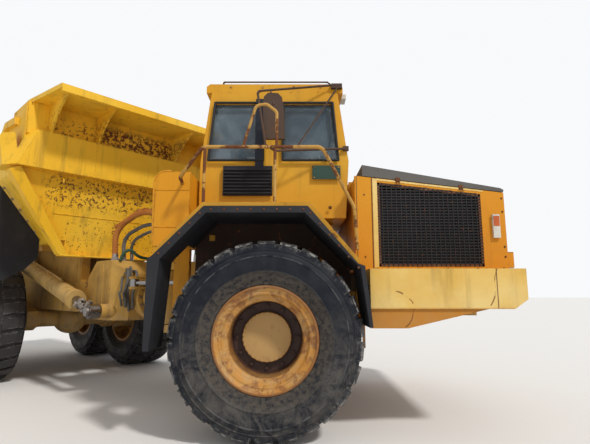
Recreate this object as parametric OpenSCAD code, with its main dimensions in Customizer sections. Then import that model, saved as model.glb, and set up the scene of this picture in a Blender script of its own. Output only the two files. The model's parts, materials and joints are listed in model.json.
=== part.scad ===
// Articulated dump truck: a tractor with one axle and a rear unit with a tipping body.
// X points forward along the tractor, Y to its left and Z up. The ground is at z = 0.

/* [Layout] */
// Angle between the two units as parked, with the tractor turned left
park_angle = 43.5; // [20:0.5:45]
// From the front axle back to the steering pin
hitch_back = 1300; // [1280:5:1330]
// From the steering pin back to the first bogie axle
bogie_back = 3200; // [3150:10:3300]
// Between the two bogie axles
bogie_pitch = 1820; // [1810:10:1900]
// From the second bogie axle back to the tail of the body
tail_over = 1750; // [1700:10:1850]
// From the front axle forward to the bumper's face
front_over = 2470; // [2450:5:2550]
// Between the middles of the left and right tyres
track = 2530; // [2520:5:2560]

/* [Wheels] */
// Outer diameter of a tyre
tyre_d = 1780; // [1760:5:1790]
// Width of a tyre
tyre_w = 770; // [750:5:780]
// Diameter of the rim where the tyre seats
rim_d = 914; // [900:2:930]
// Depth of the hub plate behind the tyre's outer face
hub_depth = 330; // [300:5:340]
// Diameter of the hub plate
hub_d = 450; // [400:5:480]
// Depth of the grooves between the shoulder blocks
lug_depth = 34; // [20:1:45]
// Shoulder blocks round a tyre
lug_count = 36; // [30:1:40]

/* [Cab] */
// Length of the cab at its belt
cab_len = 1620; // [1600:5:1640]
// Half of the cab's width
cab_half = 930; // [900:5:940]
// Height of the cab floor
cab_floor_z = 2090; // [2080:5:2110]
// Height of the window sills
belt_z = 2715; // [2690:5:2740]
// Height of the window heads
head_z = 3385; // [3360:5:3400]
// Height of the roof's underside
roof_z = 3520; // [3500:5:3530]
// Height of the roof panel
roof_h = 105; // [80:5:120]
// Thickness of the cab's walls
cab_wall = 60; // [40:2:70]

/* [Hood and bumper] */
// Half of the hood's width
hood_half = 1150; // [1120:5:1180]
// Height of the hood at the cab
hood_rear_z = 2630; // [2580:5:2640]
// Height of the hood at the front
hood_front_z = 2370; // [2330:5:2380]
// Half of the bumper's width
bumper_half = 1480; // [1450:5:1500]
// Height of the bumper's underside
bumper_z = 1155; // [1130:5:1180]
// Height of the bumper's side
bumper_h = 370; // [350:5:380]

/* [Fenders] */
// Half of the width over the fenders
fender_half = 1600; // [1580:5:1620]
// Height of the deck beside the cab
deck_z = 2085; // [2070:5:2100]
// Thickness of the rubber arches
rubber_t = 62; // [40:2:70]
// Height of the handrail
rail_z = 2670; // [2640:5:2700]
// Diameter of the rail tubes
rail_d = 34; // [28:1:40]

/* [Body] */
// Half of the body's width
body_half = 1520; // [1500:5:1540]
// Half of the body's floor width
floor_half = 880; // [860:5:900]
// Height of the body floor's underside
floor_z = 2000; // [1990:5:2020]
// Height of the body's side at its middle
side_z = 2950; // [2920:5:2980]
// Height of the canopy's top
canopy_z = 3780; // [3770:5:3800]
// Distance of the canopy's lip behind the steering pin
lip_back = 430; // [425:5:450]
// Half of the lip's length
lip_half = 1310; // [1290:5:1330]
// Thickness of the body's plates
plate_t = 40; // [30:2:50]

/* [Frames] */
// Half of the distance between the frame rails
rail_half = 420; // [410:5:430]
// Width of a frame rail
rail_w = 150; // [130:5:160]
// Height of the rear rails' underside
rail_low_z = 1040; // [1030:5:1060]
// Height of the rear rails
rail_h = 420; // [400:5:430]
// Height of the roll bearing's axis
hitch_z = 1250; // [1240:5:1260]
// Radius of the steering pins
steer_pin_r = 60; // [50:1:70]
// Radius of the tipping pins
tip_pin_r = 50; // [40:1:60]
// Radius of the tow eye's bore
tow_r = 32; // [25:1:40]

/* [Hidden] */
$fn = 48;

yellow = [0.83, 0.60, 0.12];
pale_yellow = [0.86, 0.72, 0.32];
orange_paint = [0.85, 0.50, 0.10];
black_paint = [0.07, 0.07, 0.08];
rubber = [0.10, 0.10, 0.11];
dark_grey = [0.20, 0.19, 0.19];
rusty = [0.42, 0.22, 0.13];
glass_tint = [0.55, 0.68, 0.76, 0.4];
steel = [0.62, 0.62, 0.60];

// Clearances: between a pin and its bore, between moving pieces, between seated pieces.
run_gap = 0.05;
move_gap = 8;
seat_gap = 0.3;

tyre_r = tyre_d / 2;
axle_z = tyre_r;
wheel_y = track / 2;
tyre_out = wheel_y + tyre_w / 2;
frame_len = bogie_back + bogie_pitch;
body_len = frame_len + tail_over;

// The row's origin is the middle of the whole machine's box, on the ground.
x_front = front_over;
x_tail = -hitch_back - body_len * cos(park_angle) - body_half * sin(park_angle);
y_left = body_len * sin(park_angle) + body_half * cos(park_angle);
y_right = -tyre_out;
mid_x = (x_front + x_tail) / 2;
mid_y = (y_left + y_right) / 2;

module at_tractor() {
    translate([-mid_x, -mid_y, 0]) children();
}

module at_rear() {
    translate([-mid_x - hitch_back, -mid_y, 0]) rotate([0, 0, -park_angle]) children();
}

module both_sides() {
    children();
    mirror([0, 1, 0]) children();
}

// A solid with a side outline in X and Z, from y0 to y1.
module side_plate(outline, y0, y1) {
    translate([0, y1, 0]) rotate([90, 0, 0]) linear_extrude(y1 - y0) polygon(outline);
}

// A solid with a front outline in Y and Z, from x0 to x1.
module cross_plate(outline, x0, x1) {
    translate([x0, 0, 0]) rotate([90, 0, 90]) linear_extrude(x1 - x0) polygon(outline);
}

// A solid with an outline in X and Y, from z0 to z1.
module flat_plate(outline, z0, z1) {
    translate([0, 0, z0]) linear_extrude(z1 - z0) polygon(outline);
}

module box(low, high) {
    translate(low) cube(high - low);
}

// A round bar from a to b.
module bar(a, b, r) {
    d = b - a;
    len = norm(d);
    translate(a) rotate([0, acos(d[2] / len), atan2(d[1], d[0])]) cylinder(r = r, h = len);
}

// A bent tube through the points, with elbows of the given radius.
function unit(v) = v / norm(v);
function turn(p, i) = acos(unit(p[i] - p[i - 1]) * unit(p[i + 1] - p[i]));
function cut_back(p, i, bend) = (i == 0 || i == len(p) - 1) ? 0 : bend * tan(turn(p, i) / 2);

module elbow(p, i, r, bend) {
    ahead = unit(p[i] - p[i - 1]);
    out = unit(p[i + 1] - p[i]);
    inward = unit(out - (out * ahead) * ahead);
    centre = p[i] - ahead * cut_back(p, i, bend) + inward * bend;
    side = cross(-inward, ahead);
    multmatrix([[-inward[0], ahead[0], side[0], centre[0]], [-inward[1], ahead[1], side[1], centre[1]],
        [-inward[2], ahead[2], side[2], centre[2]], [0, 0, 0, 1]])
        rotate_extrude(angle = turn(p, i)) translate([bend, 0]) circle(r = r + elbow_wall);
}

// Each straight tube is pushed a little way into its elbows, which are a wall thicker.
elbow_wall = 1.5;
elbow_grip = 4;

module tube_run(points, r, bend = 90) {
    last = len(points) - 1;
    for (i = [0:last - 1]) {
        ahead = unit(points[i + 1] - points[i]);
        grip_a = i == 0 ? 0 : elbow_grip;
        grip_b = i == last - 1 ? 0 : elbow_grip;
        bar(points[i] + ahead * (cut_back(points, i, bend) - grip_a),
            points[i + 1] - ahead * (cut_back(points, i + 1, bend) - grip_b), r);
    }
    for (i = [1:len(points) - 2]) elbow(points, i, r, bend);
}

// A round bar along Y.
module cross_bar(x, z, y0, y1, r) {
    translate([x, y1, z]) rotate([90, 0, 0]) cylinder(r = r, h = y1 - y0);
}

// Wheel: an outline turned round the Y axis, with its outer face at y = 0 and inwards to y < 0.
rim_r = rim_d / 2;
rim_wall = 16;
bead_in = 70;
rim_lip_r = rim_r + 22;
barrel_r = rim_r - 30;
well_r = hub_d / 2 + 95;
hub_plate_t = 100;
diff_r = 270;
axle_half = tyre_out - hub_depth - hub_plate_t - seat_gap;

module spin_y() {
    rotate([-90, 0, 0]) rotate_extrude() children();
}

module tyre_solid() {
    tread_r = tyre_r;
    shoulder_r = tyre_r - 22;
    groove_w = 42;
    groove_in = 150;
    difference() {
        spin_y() polygon([
            [rim_r + seat_gap, -bead_in - 30], [rim_lip_r + 26, -bead_in + 12],
            [rim_lip_r + 90, -24], [rim_lip_r + 190, 0], [rim_lip_r + 250, -6],
            [shoulder_r - 70, -34], [shoulder_r, -62], [tread_r, -130],
            [tread_r, 130 - tyre_w], [shoulder_r, 62 - tyre_w], [shoulder_r - 70, 34 - tyre_w],
            [rim_lip_r + 250, 6 - tyre_w], [rim_lip_r + 190, -tyre_w],
            [rim_lip_r + 90, 24 - tyre_w], [rim_lip_r + 26, bead_in - 12 - tyre_w],
            [rim_r + seat_gap, bead_in + 30 - tyre_w]]);
        for (i = [0:lug_count - 1]) rotate([0, i * 360 / lug_count, 0]) {
            box([-groove_w / 2, -groove_in, tyre_r - lug_depth], [groove_w / 2, 10, tyre_r + 10]);
            rotate([0, 180 / lug_count, 0])
                box([-groove_w / 2, -tyre_w - 10, tyre_r - lug_depth],
                    [groove_w / 2, groove_in - tyre_w, tyre_r + 10]);
        }
    }
}

module rim_solid() {
    spin_y() polygon([
        [0, -hub_depth], [hub_d / 2, -hub_depth], [hub_d / 2, -hub_depth - 60],
        [well_r - 10, -hub_depth - 60], [well_r + 10, -170], [barrel_r - 40, -130],
        [barrel_r - 10, -70], [rim_r - 16, -60], [rim_lip_r - 16, -52], [rim_lip_r, -60],
        [rim_lip_r, -bead_in], [rim_r, -bead_in - 12], [rim_r, bead_in + 12 - tyre_w],
        [rim_lip_r, bead_in - tyre_w], [rim_lip_r, 60 - tyre_w], [barrel_r, 60 - tyre_w],
        [barrel_r, -hub_depth - hub_plate_t], [0, -hub_depth - hub_plate_t]]);
}

// Puts a right-hand wheel with its outer face outwards, at x along the unit.
module wheel_right(x) {
    translate([x, -tyre_out, axle_z]) mirror([0, 1, 0]) children();
}

module wheel_left(x) {
    translate([x, tyre_out, axle_z]) children();
}

module front_tyre_right() { color(rubber) at_tractor() wheel_right(0) tyre_solid(); }
module front_rim_right() { color(orange_paint) at_tractor() wheel_right(0) rim_solid(); }
module front_tyre_left() { color(rubber) at_tractor() wheel_left(0) tyre_solid(); }
module front_rim_left() { color(orange_paint) at_tractor() wheel_left(0) rim_solid(); }
module mid_tyre_right() { color(rubber) at_rear() wheel_right(-bogie_back) tyre_solid(); }
module mid_rim_right() { color(orange_paint) at_rear() wheel_right(-bogie_back) rim_solid(); }
module mid_tyre_left() { color(rubber) at_rear() wheel_left(-bogie_back) tyre_solid(); }
module mid_rim_left() { color(orange_paint) at_rear() wheel_left(-bogie_back) rim_solid(); }
module rear_tyre_right() { color(rubber) at_rear() wheel_right(-frame_len) tyre_solid(); }
module rear_rim_right() { color(orange_paint) at_rear() wheel_right(-frame_len) rim_solid(); }
module rear_tyre_left() { color(rubber) at_rear() wheel_left(-frame_len) tyre_solid(); }
module rear_rim_left() { color(orange_paint) at_rear() wheel_left(-frame_len) rim_solid(); }

// Tractor frame: two rails, cross members and the fork that holds the steering pin.
tractor_low_z = 1050;
tractor_h = 270;
cab_rear = -770;
cab_front = cab_rear + cab_len;
rail_front = front_over - 150;
member_t = 120;
fork_half = 300;
fork_eye_r = 150;
fork_web = 60;
fork_top_z = hitch_z + 330;
fork_low_z = hitch_z - 330;
fork_t = 90;
steer_eye_x = -150;
steer_eye_y = 580;
steer_z = hitch_z + 170;
steer_pin_x = -150;
steer_pin_y = 400;
barrel_len = 800;
steer_bore_r = 30;
steer_ear_r = 60;
steer_ear_t = 30;
steer_ear_gap = 45;
fork_root = 360 - hitch_back;
tractor_top_z = tractor_low_z + tractor_h;
rail_out = rail_half + rail_w / 2;
rail_in = rail_half - rail_w / 2;

// Two ears above and below the eye of a cylinder at x, y.
module eye_ears(x, y, reach) {
    for (z = [steer_z - steer_ear_gap - steer_ear_t, steer_z + steer_ear_gap]) {
        box([x - steer_ear_r, min(y, reach), z], [x + steer_ear_r, max(y, reach), z + steer_ear_t]);
        translate([x, y, z]) cylinder(r = steer_ear_r, h = steer_ear_t);
    }
}

module front_frame() color(yellow) at_tractor() {
    foot_half = 90;
    pin_half = 70;
    difference() {
        union() {
            both_sides() {
                box([fork_root - 100, rail_in, tractor_low_z], [rail_front, rail_out, tractor_top_z]);
                // Bracket, ears and pin of a steering cylinder's foot
                box([steer_eye_x - foot_half, rail_in, tractor_top_z - 1],
                    [steer_eye_x + foot_half, rail_out - 40, steer_z + steer_ear_gap + steer_ear_t]);
                eye_ears(steer_eye_x, steer_eye_y, rail_out - 60);
                translate([steer_eye_x, steer_eye_y, steer_z - pin_half])
                    cylinder(r = steer_bore_r - run_gap, h = 2 * pin_half);
            }
            for (x = [fork_root, cab_front + 50, rail_front - member_t])
                box([x, -rail_in - 1, tractor_low_z + 20], [x + member_t, rail_in + 1, tractor_top_z - 20]);
            // Web between the two arms of the fork
            box([fork_root - fork_web, -fork_half, fork_low_z - fork_t],
                [fork_root + fork_web, fork_half, fork_top_z + fork_t]);
            for (z = [fork_low_z - fork_t, fork_top_z]) {
                flat_plate([[fork_root + fork_web, -fork_half], [fork_root + fork_web, fork_half],
                    [-hitch_back, fork_eye_r], [-hitch_back, -fork_eye_r]], z, z + fork_t);
                translate([-hitch_back, 0, z]) cylinder(r = fork_eye_r, h = fork_t);
            }
        }
        translate([-hitch_back, 0, fork_low_z - 200]) cylinder(r = steer_pin_r, h = fork_top_z);
    }
}

module front_axle() color(yellow) at_tractor() {
    axle_r = 150;
    drum_r = 215;
    seat_half = 150;
    cross_bar(0, axle_z, -axle_half, axle_half, axle_r);
    both_sides() {
        cross_bar(0, axle_z, tyre_out - tyre_w - 120, axle_half, drum_r);
        box([-seat_half, rail_in, axle_z + 60], [seat_half, rail_out, tractor_low_z - seat_gap]);
    }
    translate([0, 0, axle_z]) sphere(r = diff_r);
}

module engine_block() color(dark_grey) at_tractor() {
    box([cab_front + 150, -rail_half, tractor_top_z + seat_gap],
        [rail_front - 170, rail_half, hood_front_z - 140]);
}

// Hood: side walls with an opening for each grille, a front wall and a chamfered rear corner.
hood_x0 = cab_front + 30;
hood_x1 = front_over - 60;
hood_t = 40;
lid_rear_t = 122;
lid_front_t = 42;
grille_x0 = hood_x0 + 230;
grille_x1 = hood_x1 - 240;
grille_z0 = bumper_z + bumper_h + 35;
front_grille_half = 800;
front_grille_low = 150;
front_grille_top = 220;
function hood_z(x) = hood_rear_z + (hood_front_z - hood_rear_z) * (x - hood_x0) / (hood_x1 - hood_x0);
function lid_low_z(x) = hood_z(x) - lid_rear_t
    + (lid_rear_t - lid_front_t) * (x - hood_x0) / (hood_x1 - hood_x0);
function grille_top_z(x) = lid_low_z(x) - 50;
hood_low_z = bumper_z + bumper_h + seat_gap;
step_w = 170;
lid_rear = hood_x0 + 80;
lid_hinge_x = hood_x0 + 30;
lid_hinge_z = hood_rear_z - 80;
lid_hinge_y = 520;
lid_pin_r = 12;
lid_knuckle_r = 24;
lid_knuckle_half = 50;
lid_ear_at = lid_knuckle_half + 12;

module hood_panels() color(yellow) at_tractor() {
    both_sides() difference() {
        side_plate([[hood_x0, hood_low_z], [hood_x1, hood_low_z],
            [hood_x1, lid_low_z(hood_x1) - move_gap], [hood_x0, lid_low_z(hood_x0) - move_gap]],
            hood_half - hood_t, hood_half);
        side_plate([[grille_x0, grille_z0], [grille_x1, grille_z0],
            [grille_x1, grille_top_z(grille_x1)], [grille_x0, grille_top_z(grille_x0)]],
            hood_half - hood_t - 1, hood_half + 1);
    }
    difference() {
        box([hood_x1 - hood_t, -hood_half + 20, hood_low_z],
            [hood_x1, hood_half - 20, lid_low_z(hood_x1) - move_gap]);
        box([hood_x1 - hood_t - 1, -front_grille_half, hood_low_z + front_grille_low],
            [hood_x1 + 1, front_grille_half, hood_front_z - front_grille_top]);
    }
    // Bulkhead against the cab
    box([hood_x0, -hood_half + 20, hood_low_z],
        [hood_x0 + hood_t, hood_half - 20, lid_low_z(hood_x0) - 30]);
    // Ears and pins of the lid's hinges
    both_sides() {
        for (y = [lid_hinge_y - lid_ear_at, lid_hinge_y + lid_ear_at])
            side_plate([[hood_x0, lid_low_z(hood_x0) - 80], [hood_x0 + hood_t, lid_low_z(hood_x0) - 80],
                [lid_hinge_x + lid_knuckle_r, lid_hinge_z],
                [lid_hinge_x + lid_knuckle_r, lid_hinge_z + lid_knuckle_r],
                [lid_hinge_x - lid_knuckle_r, lid_hinge_z + lid_knuckle_r]], y - 10, y + 10);
        cross_bar(lid_hinge_x, lid_hinge_z, lid_hinge_y - lid_ear_at - 3, lid_hinge_y + lid_ear_at + 3,
            lid_pin_r - run_gap);
    }
}

module grilles() color(black_paint) at_tractor() {
    slat_w = 30;
    inset = 60;
    side_slots = 9;
    side_pitch = (grille_x1 - grille_x0 - 2 * inset + slat_w) / side_slots;
    front_inset = 45;
    front_slots = 12;
    front_pitch = (2 * (front_grille_half - front_inset) + slat_w) / front_slots;
    louvre_slats = 5;
    louvre_pitch = 62;
    both_sides() {
        difference() {
            side_plate([[grille_x0 + seat_gap, grille_z0 + seat_gap],
                [grille_x1 - seat_gap, grille_z0 + seat_gap],
                [grille_x1 - seat_gap, grille_top_z(grille_x1) - 1],
                [grille_x0 + seat_gap, grille_top_z(grille_x0) - 1]], hood_half - 30, hood_half - 5);
            for (i = [0:side_slots - 1]) {
                x0 = grille_x0 + inset + i * side_pitch;
                x1 = x0 + side_pitch - slat_w;
                side_plate([[x0, grille_z0 + inset], [x1, grille_z0 + inset],
                    [x1, grille_top_z(x1) - inset], [x0, grille_top_z(x1) - inset]],
                    hood_half - 31, hood_half - 4);
            }
        }
    }
    difference() {
        box([hood_x1 - 30, -front_grille_half + seat_gap, hood_low_z + front_grille_low + seat_gap],
            [hood_x1 - 10, front_grille_half - seat_gap, hood_front_z - front_grille_top - seat_gap]);
        for (i = [0:front_slots - 1]) {
            y = -front_grille_half + front_inset + i * front_pitch;
            box([hood_x1 - 31, y, hood_low_z + front_grille_low + 50],
                [hood_x1 - 9, y + front_pitch - slat_w, hood_front_z - front_grille_top - 50]);
        }
    }
    // Louvre in the right side of the cab
    for (i = [0:louvre_slats - 1]) {
        z = cab_floor_z + 255 + i * louvre_pitch;
        box([cab_rear + 270, -cab_half - 22, z], [10, -cab_half - seat_gap, z + louvre_pitch - 20]);
    }
}

module hood_lid() color(dark_grey) at_tractor() {
    y0 = lid_hinge_y - lid_knuckle_half;
    y1 = lid_hinge_y + lid_knuckle_half;
    difference() {
        union() {
            side_plate([[lid_rear, lid_low_z(lid_rear)], [hood_x1, lid_low_z(hood_x1)],
                [hood_x1 + 5, hood_front_z - 20], [hood_x1 - 30, hood_front_z],
                [lid_rear, hood_z(lid_rear)]], -hood_half, hood_half);
            both_sides() {
                cross_bar(lid_hinge_x, lid_hinge_z, y0, y1, lid_knuckle_r);
                box([lid_hinge_x, y0, lid_hinge_z - 15], [lid_rear + 2, y1, lid_hinge_z + 15]);
            }
        }
        both_sides() cross_bar(lid_hinge_x, lid_hinge_z, y0 - 1, y1 + 1, lid_pin_r);
    }
}

// Bumper: deep side boxes, a front beam with cut corners and a skid plate below.
module bumper() color(pale_yellow) at_tractor() {
    x0 = hood_x0 + 80;
    z1 = bumper_z + bumper_h;
    cut_x = 60;
    cut_y = 140;
    under_cut_x = 190;
    under_cut_z = 130;
    skid_drop = 175;
    difference() {
        flat_plate([[x0, -bumper_half], [front_over - cut_x, -bumper_half],
            [front_over, -bumper_half + cut_y], [front_over, bumper_half - cut_y],
            [front_over - cut_x, bumper_half], [x0, bumper_half]], bumper_z, z1);
        box([x0 - 1, -rail_out - 20, bumper_z - 1], [rail_front + seat_gap, rail_out + 20, z1 + 1]);
        side_plate([[front_over - under_cut_x, bumper_z - 1], [front_over + 1, bumper_z - 1],
            [front_over + 1, bumper_z + under_cut_z]], -bumper_half - 1, bumper_half + 1);
    }
    // Skid plates, the left one in from the steps
    for (y = [[-bumper_half + 20, -rail_out - 60], [rail_out + 60, bumper_half - step_w - 50]])
        side_plate([[x0, bumper_z + 1], [x0, bumper_z - skid_drop], [x0 + 340, bumper_z - skid_drop],
            [front_over - 410, bumper_z + 1]], y[0], y[1]);
}

module lamps() color([0.9, 0.85, 0.75]) at_tractor() {
    both_sides() {
        box([hood_x1 + seat_gap, hood_half - 200, hood_low_z + 20],
            [hood_x1 + 60, hood_half - 20, hood_low_z + 150]);
        box([hood_x1 - 140, hood_half + seat_gap, grille_z0 + 290],
            [hood_x1 - 70, hood_half + 30, grille_z0 + 530]);
        box([roof_x1 + seat_gap, 600, roof_z + 5], [roof_x1 + 55, 760, roof_z + 60]);
    }
}

// Fenders: a deck beside the cab and a sloping plate down to the front and to the rear.
deck_front = 380;
deck_rear = -570;
slope_front = [tyre_r - 60, 1560];
slope_rear = [-tyre_r - 120, 1640];
deck_t = 45;
fender_in = cab_half + 15;
tank_x1 = cab_rear - 30;
tank_x0 = tank_x1 - 350;
tank_in = 800;
tank_out = tank_in + 430;
tank_top = 2520;
tank_low = tank_top - 760;

// Room for the tank at the rear slope and for the hood's corner at the front slope.
module fender_notches() {
    box([slope_rear[0] - 200, fender_in - 10, 700], [tank_x1 + 10, tank_out + 10, 2600]);
    box([hood_x0 - 40, fender_in - 10, 900], [hood_x0 + 200, hood_half + 10, 1700]);
}

module fenders() color(yellow) at_tractor() {
    both_sides() difference() {
        side_plate([[slope_rear[0], slope_rear[1]], [deck_rear, deck_z], [deck_front, deck_z],
            [slope_front[0], slope_front[1]], [slope_front[0] + 30, slope_front[1] + 30],
            [deck_front + 20, deck_z + deck_t], [deck_rear - 20, deck_z + deck_t],
            [slope_rear[0] - 30, slope_rear[1] + 30]], fender_in, fender_half);
        fender_notches();
    }
    // Bearers that carry the deck from the frame
    bearer = 60;
    bearer_out = 800;
    bearer_top = deck_z - rubber_t - 120;
    both_sides() for (x = [deck_rear - 70, deck_front + 180]) {
        box([x, rail_out + seat_gap, tractor_low_z + 150],
            [x + bearer, bearer_out, tractor_low_z + 230]);
        box([x, bearer_out - bearer, tractor_low_z + 229], [x + bearer, bearer_out, bearer_top]);
        box([x, bearer_out - bearer, bearer_top - bearer], [x + bearer, fender_in + 20, bearer_top]);
    }
}

module mudguards() color(rubber) at_tractor() {
    lip = fender_half + 50;
    rear_low = 800;
    front_low = 1000;
    both_sides() difference() {
        side_plate([[slope_rear[0] - 50, rear_low], [slope_rear[0], rear_low],
            [slope_rear[0] + rubber_t, slope_rear[1] - 40],
            [deck_rear + 25, deck_z - rubber_t], [deck_front - 25, deck_z - rubber_t],
            [slope_front[0] + 20, slope_front[1] - 40], [slope_front[0] + 90, front_low],
            [slope_front[0] + 120, front_low], [slope_front[0] + 60, slope_front[1] - 20],
            [slope_front[0], slope_front[1] - seat_gap], [deck_front, deck_z - seat_gap],
            [deck_rear, deck_z - seat_gap], [slope_rear[0], slope_rear[1] - seat_gap],
            [slope_rear[0] - 50, slope_rear[1] - 40]], fender_in + 40, lip);
        fender_notches();
    }
}

// Handrails on both decks; the left one stays behind the door's swing.
module rail_posts(xs) {
    for (x = xs)
        bar([x, rail_y, deck_z + deck_t + seat_gap], [x, rail_y, rail_z - 6], rail_d / 2 - 2);
}
rail_y = fender_half - 30;

module handrails() color(orange_paint) at_tractor() {
    r = rail_d / 2;
    foot_z = tank_top - 120;
    mirror([0, 1, 0]) {
        tube_run([[tank_x1 - 80, tank_out + 3, foot_z], [tank_x1 - 40, rail_y - 90, foot_z],
            [deck_rear - 40, rail_y, rail_z],
            [520, rail_y, rail_z], [815, rail_y, deck_z], [835, rail_y, 1690]], r);
        rail_posts([deck_rear - 20, 75]);
        tube_run([[90, rail_y, rail_z + 6], [90, rail_y, 3020], [-10, rail_y, 3100], [-110, rail_y, 3085],
            [-230, rail_y, rail_z]], r - 3, 60);
    }
    tube_run([[deck_rear - 20, rail_y, deck_z + deck_t + seat_gap], [deck_rear - 20, rail_y, rail_z],
        [-200, rail_y, rail_z], [-200, rail_y, deck_z + deck_t + seat_gap]], r);
}

module cab_steps() color(orange_paint) at_tractor() {
    x0 = hood_x0 + 110;
    x1 = x0 + 320;
    y1 = bumper_half - 20;
    y0 = y1 - step_w;
    low = 480;
    pitch = 220;
    cheek = 20;
    for (x = [x0, x1]) box([x, y0, low], [x + cheek, y1, bumper_z - seat_gap]);
    for (i = [0:2])
        box([x0 + cheek - 5, y0 + 10, low + 10 + i * pitch],
            [x1 + 5, y1 - 10, low + 40 + i * pitch]);
}

// Cab: a hollow shell in side outline, with a window in each wall and a doorway on the left.
cab_lean_rear = 100;
cab_lean_front = 110;
roof_x0 = cab_rear + cab_lean_rear - 60;
roof_x1 = cab_front - cab_lean_front + 60;
door_hinge_x = -40;
door_hinge_y = cab_half + 18;
door_hinges = [cab_floor_z + 260, head_z - 250];
door_pin_r = 9;
function cab_face(z) = cab_front - cab_lean_front * (z - belt_z) / (roof_z - belt_z);
door_x0 = -20;
door_x1 = 640;

function cab_outline(inset, low, high) = [
    [cab_rear + inset, low], [cab_rear + inset, belt_z], [cab_rear + cab_lean_rear + inset, high],
    [cab_front - cab_lean_front - inset, high], [cab_front - inset, belt_z], [cab_front - 40 - inset, low]];

sill_z = belt_z + 10;
pane_rear = cab_rear + 90;
pane_front = cab_front - 115;
pane_lean = 60;
pillar_rear = -85;
pillar_front = 130;
left_pillar = -160;

module window_right(grow) {
    side_plate([[pane_rear - grow, sill_z - grow], [pillar_rear + grow, sill_z - grow],
        [pillar_rear + grow, head_z + grow], [pane_rear + pane_lean - grow, head_z + grow]],
        -cab_half - 5, -cab_half + cab_wall + 5);
    side_plate([[pillar_front - grow, sill_z - grow], [pane_front + grow, sill_z - grow],
        [pane_front - pane_lean + 5 + grow, head_z + grow], [pillar_front - grow, head_z + grow]],
        -cab_half - 5, -cab_half + cab_wall + 5);
}

// The opening for the windscreen or the rear window, with its sides in from the cab's own.
module end_window(side_low, side_high, shrink, x0, x1) {
    low = cab_half - side_low;
    high = cab_half - side_high;
    cross_plate([[-low, belt_z + 40 + shrink], [low, belt_z + 40 + shrink],
        [high, head_z - shrink], [-high, head_z - shrink]], x0, x1);
}

module cab_shell() color(yellow) at_tractor() {
    difference() {
        side_plate(cab_outline(0, cab_floor_z, roof_z), -cab_half, cab_half);
        side_plate(cab_outline(cab_wall, cab_floor_z + cab_wall, roof_z + 1),
            -cab_half + cab_wall, cab_half - cab_wall);
        window_right(0);
        // Rear side window on the left
        side_plate([[pane_rear, sill_z], [left_pillar, sill_z], [left_pillar, head_z],
            [pane_rear + pane_lean, head_z]], cab_half - cab_wall - 5, cab_half + 5);
        // Doorway
        box([door_x0, cab_half - cab_wall - 5, cab_floor_z + cab_wall], [door_x1, cab_half + 5, head_z]);
        // Windscreen and rear window
        end_window(90, 110, 0, cab_front - 250, cab_front + 50);
        end_window(110, 120, 0, cab_rear - 50, cab_rear + 190);
    }
    // Mounts down to the frame
    both_sides() for (x = [-440, 620])
        box([x, rail_in, tractor_top_z + seat_gap], [x + 90, rail_in + 85, cab_floor_z + 1]);
    // Ears and pins of the door's hinges
    for (z = door_hinges) {
        for (up = [-45, 30])
            box([door_hinge_x - 50, cab_half - 1, z + up],
                [door_hinge_x + 14, door_hinge_y + 14, z + up + 15]);
        translate([door_hinge_x, door_hinge_y, z - 40]) cylinder(r = door_pin_r - run_gap, h = 80);
    }
}

module cab_roof() color(yellow) at_tractor() {
    x0 = roof_x0;
    x1 = roof_x1;
    side_plate([[x0, roof_z + seat_gap], [x1, roof_z + seat_gap], [x1, roof_z + roof_h - 40],
        [x1 - 60, roof_z + roof_h], [x0 + 40, roof_z + roof_h], [x0, roof_z + roof_h - 30]],
        -cab_half + 10, cab_half - 10);
}

module cab_glass() color(glass_tint) at_tractor() {
    pane = 8;
    g = seat_gap;
    intersection() {
        window_right(-g);
        box([-1000, -cab_half + 25, belt_z - 100], [1000, -cab_half + 25 + pane, roof_z]);
    }
    side_plate([[pane_rear + g, sill_z + g], [left_pillar - g, sill_z + g],
        [left_pillar - g, head_z - g], [pane_rear + pane_lean + g, head_z - g]],
        cab_half - 25 - pane, cab_half - 25);
    intersection() {
        difference() {
            side_plate(cab_outline(20, cab_floor_z, roof_z), -cab_half, cab_half);
            side_plate(cab_outline(20 + pane, cab_floor_z - 1, roof_z + 1), -cab_half - 1, cab_half + 1);
        }
        union() {
            end_window(90 + g, 110 + g, g, cab_front - 250, cab_front + 50);
            end_window(110 + g, 120 + g, g, cab_rear - 50, cab_rear + 190);
        }
    }
}

module cab_door() color(yellow) at_tractor() {
    low = cab_floor_z + cab_wall + move_gap;
    difference() {
        union() {
            box([door_x0 + move_gap, cab_half - 45, low], [door_x1 - move_gap, cab_half, head_z - move_gap]);
            for (z = door_hinges) {
                translate([door_hinge_x, door_hinge_y, z - 28]) cylinder(r = 16, h = 56);
                box([door_hinge_x, door_hinge_y - 10, z - 28], [door_x0 + 70, door_hinge_y + 2, z + 28]);
                box([door_x0 + 40, cab_half - 1, z - 28], [door_x0 + 70, door_hinge_y + 2, z + 28]);
            }
        }
        box([door_x0 + 90, cab_half - 50, belt_z], [door_x1 - 90, cab_half + 5, head_z - 90]);
        for (z = door_hinges)
            translate([door_hinge_x, door_hinge_y, z - 30]) cylinder(r = door_pin_r, h = 60);
    }
}

module door_glass() color(glass_tint) at_tractor() {
    g = seat_gap;
    box([door_x0 + 90 + g, cab_half - 28, belt_z + g], [door_x1 - 90 - g, cab_half - 20, head_z - 90 - g]);
}

module seat() color(dark_grey) at_tractor() {
    floor_in = cab_floor_z + cab_wall + seat_gap;
    box([-330, -200, floor_in], [30, 200, floor_in + 330]);
    box([-350, -250, floor_in + 330], [150, 250, floor_in + 450]);
    side_plate([[-430, floor_in + 430], [-330, floor_in + 430], [-370, floor_in + 1000],
        [-460, floor_in + 1000]], -240, 240);
}

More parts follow.
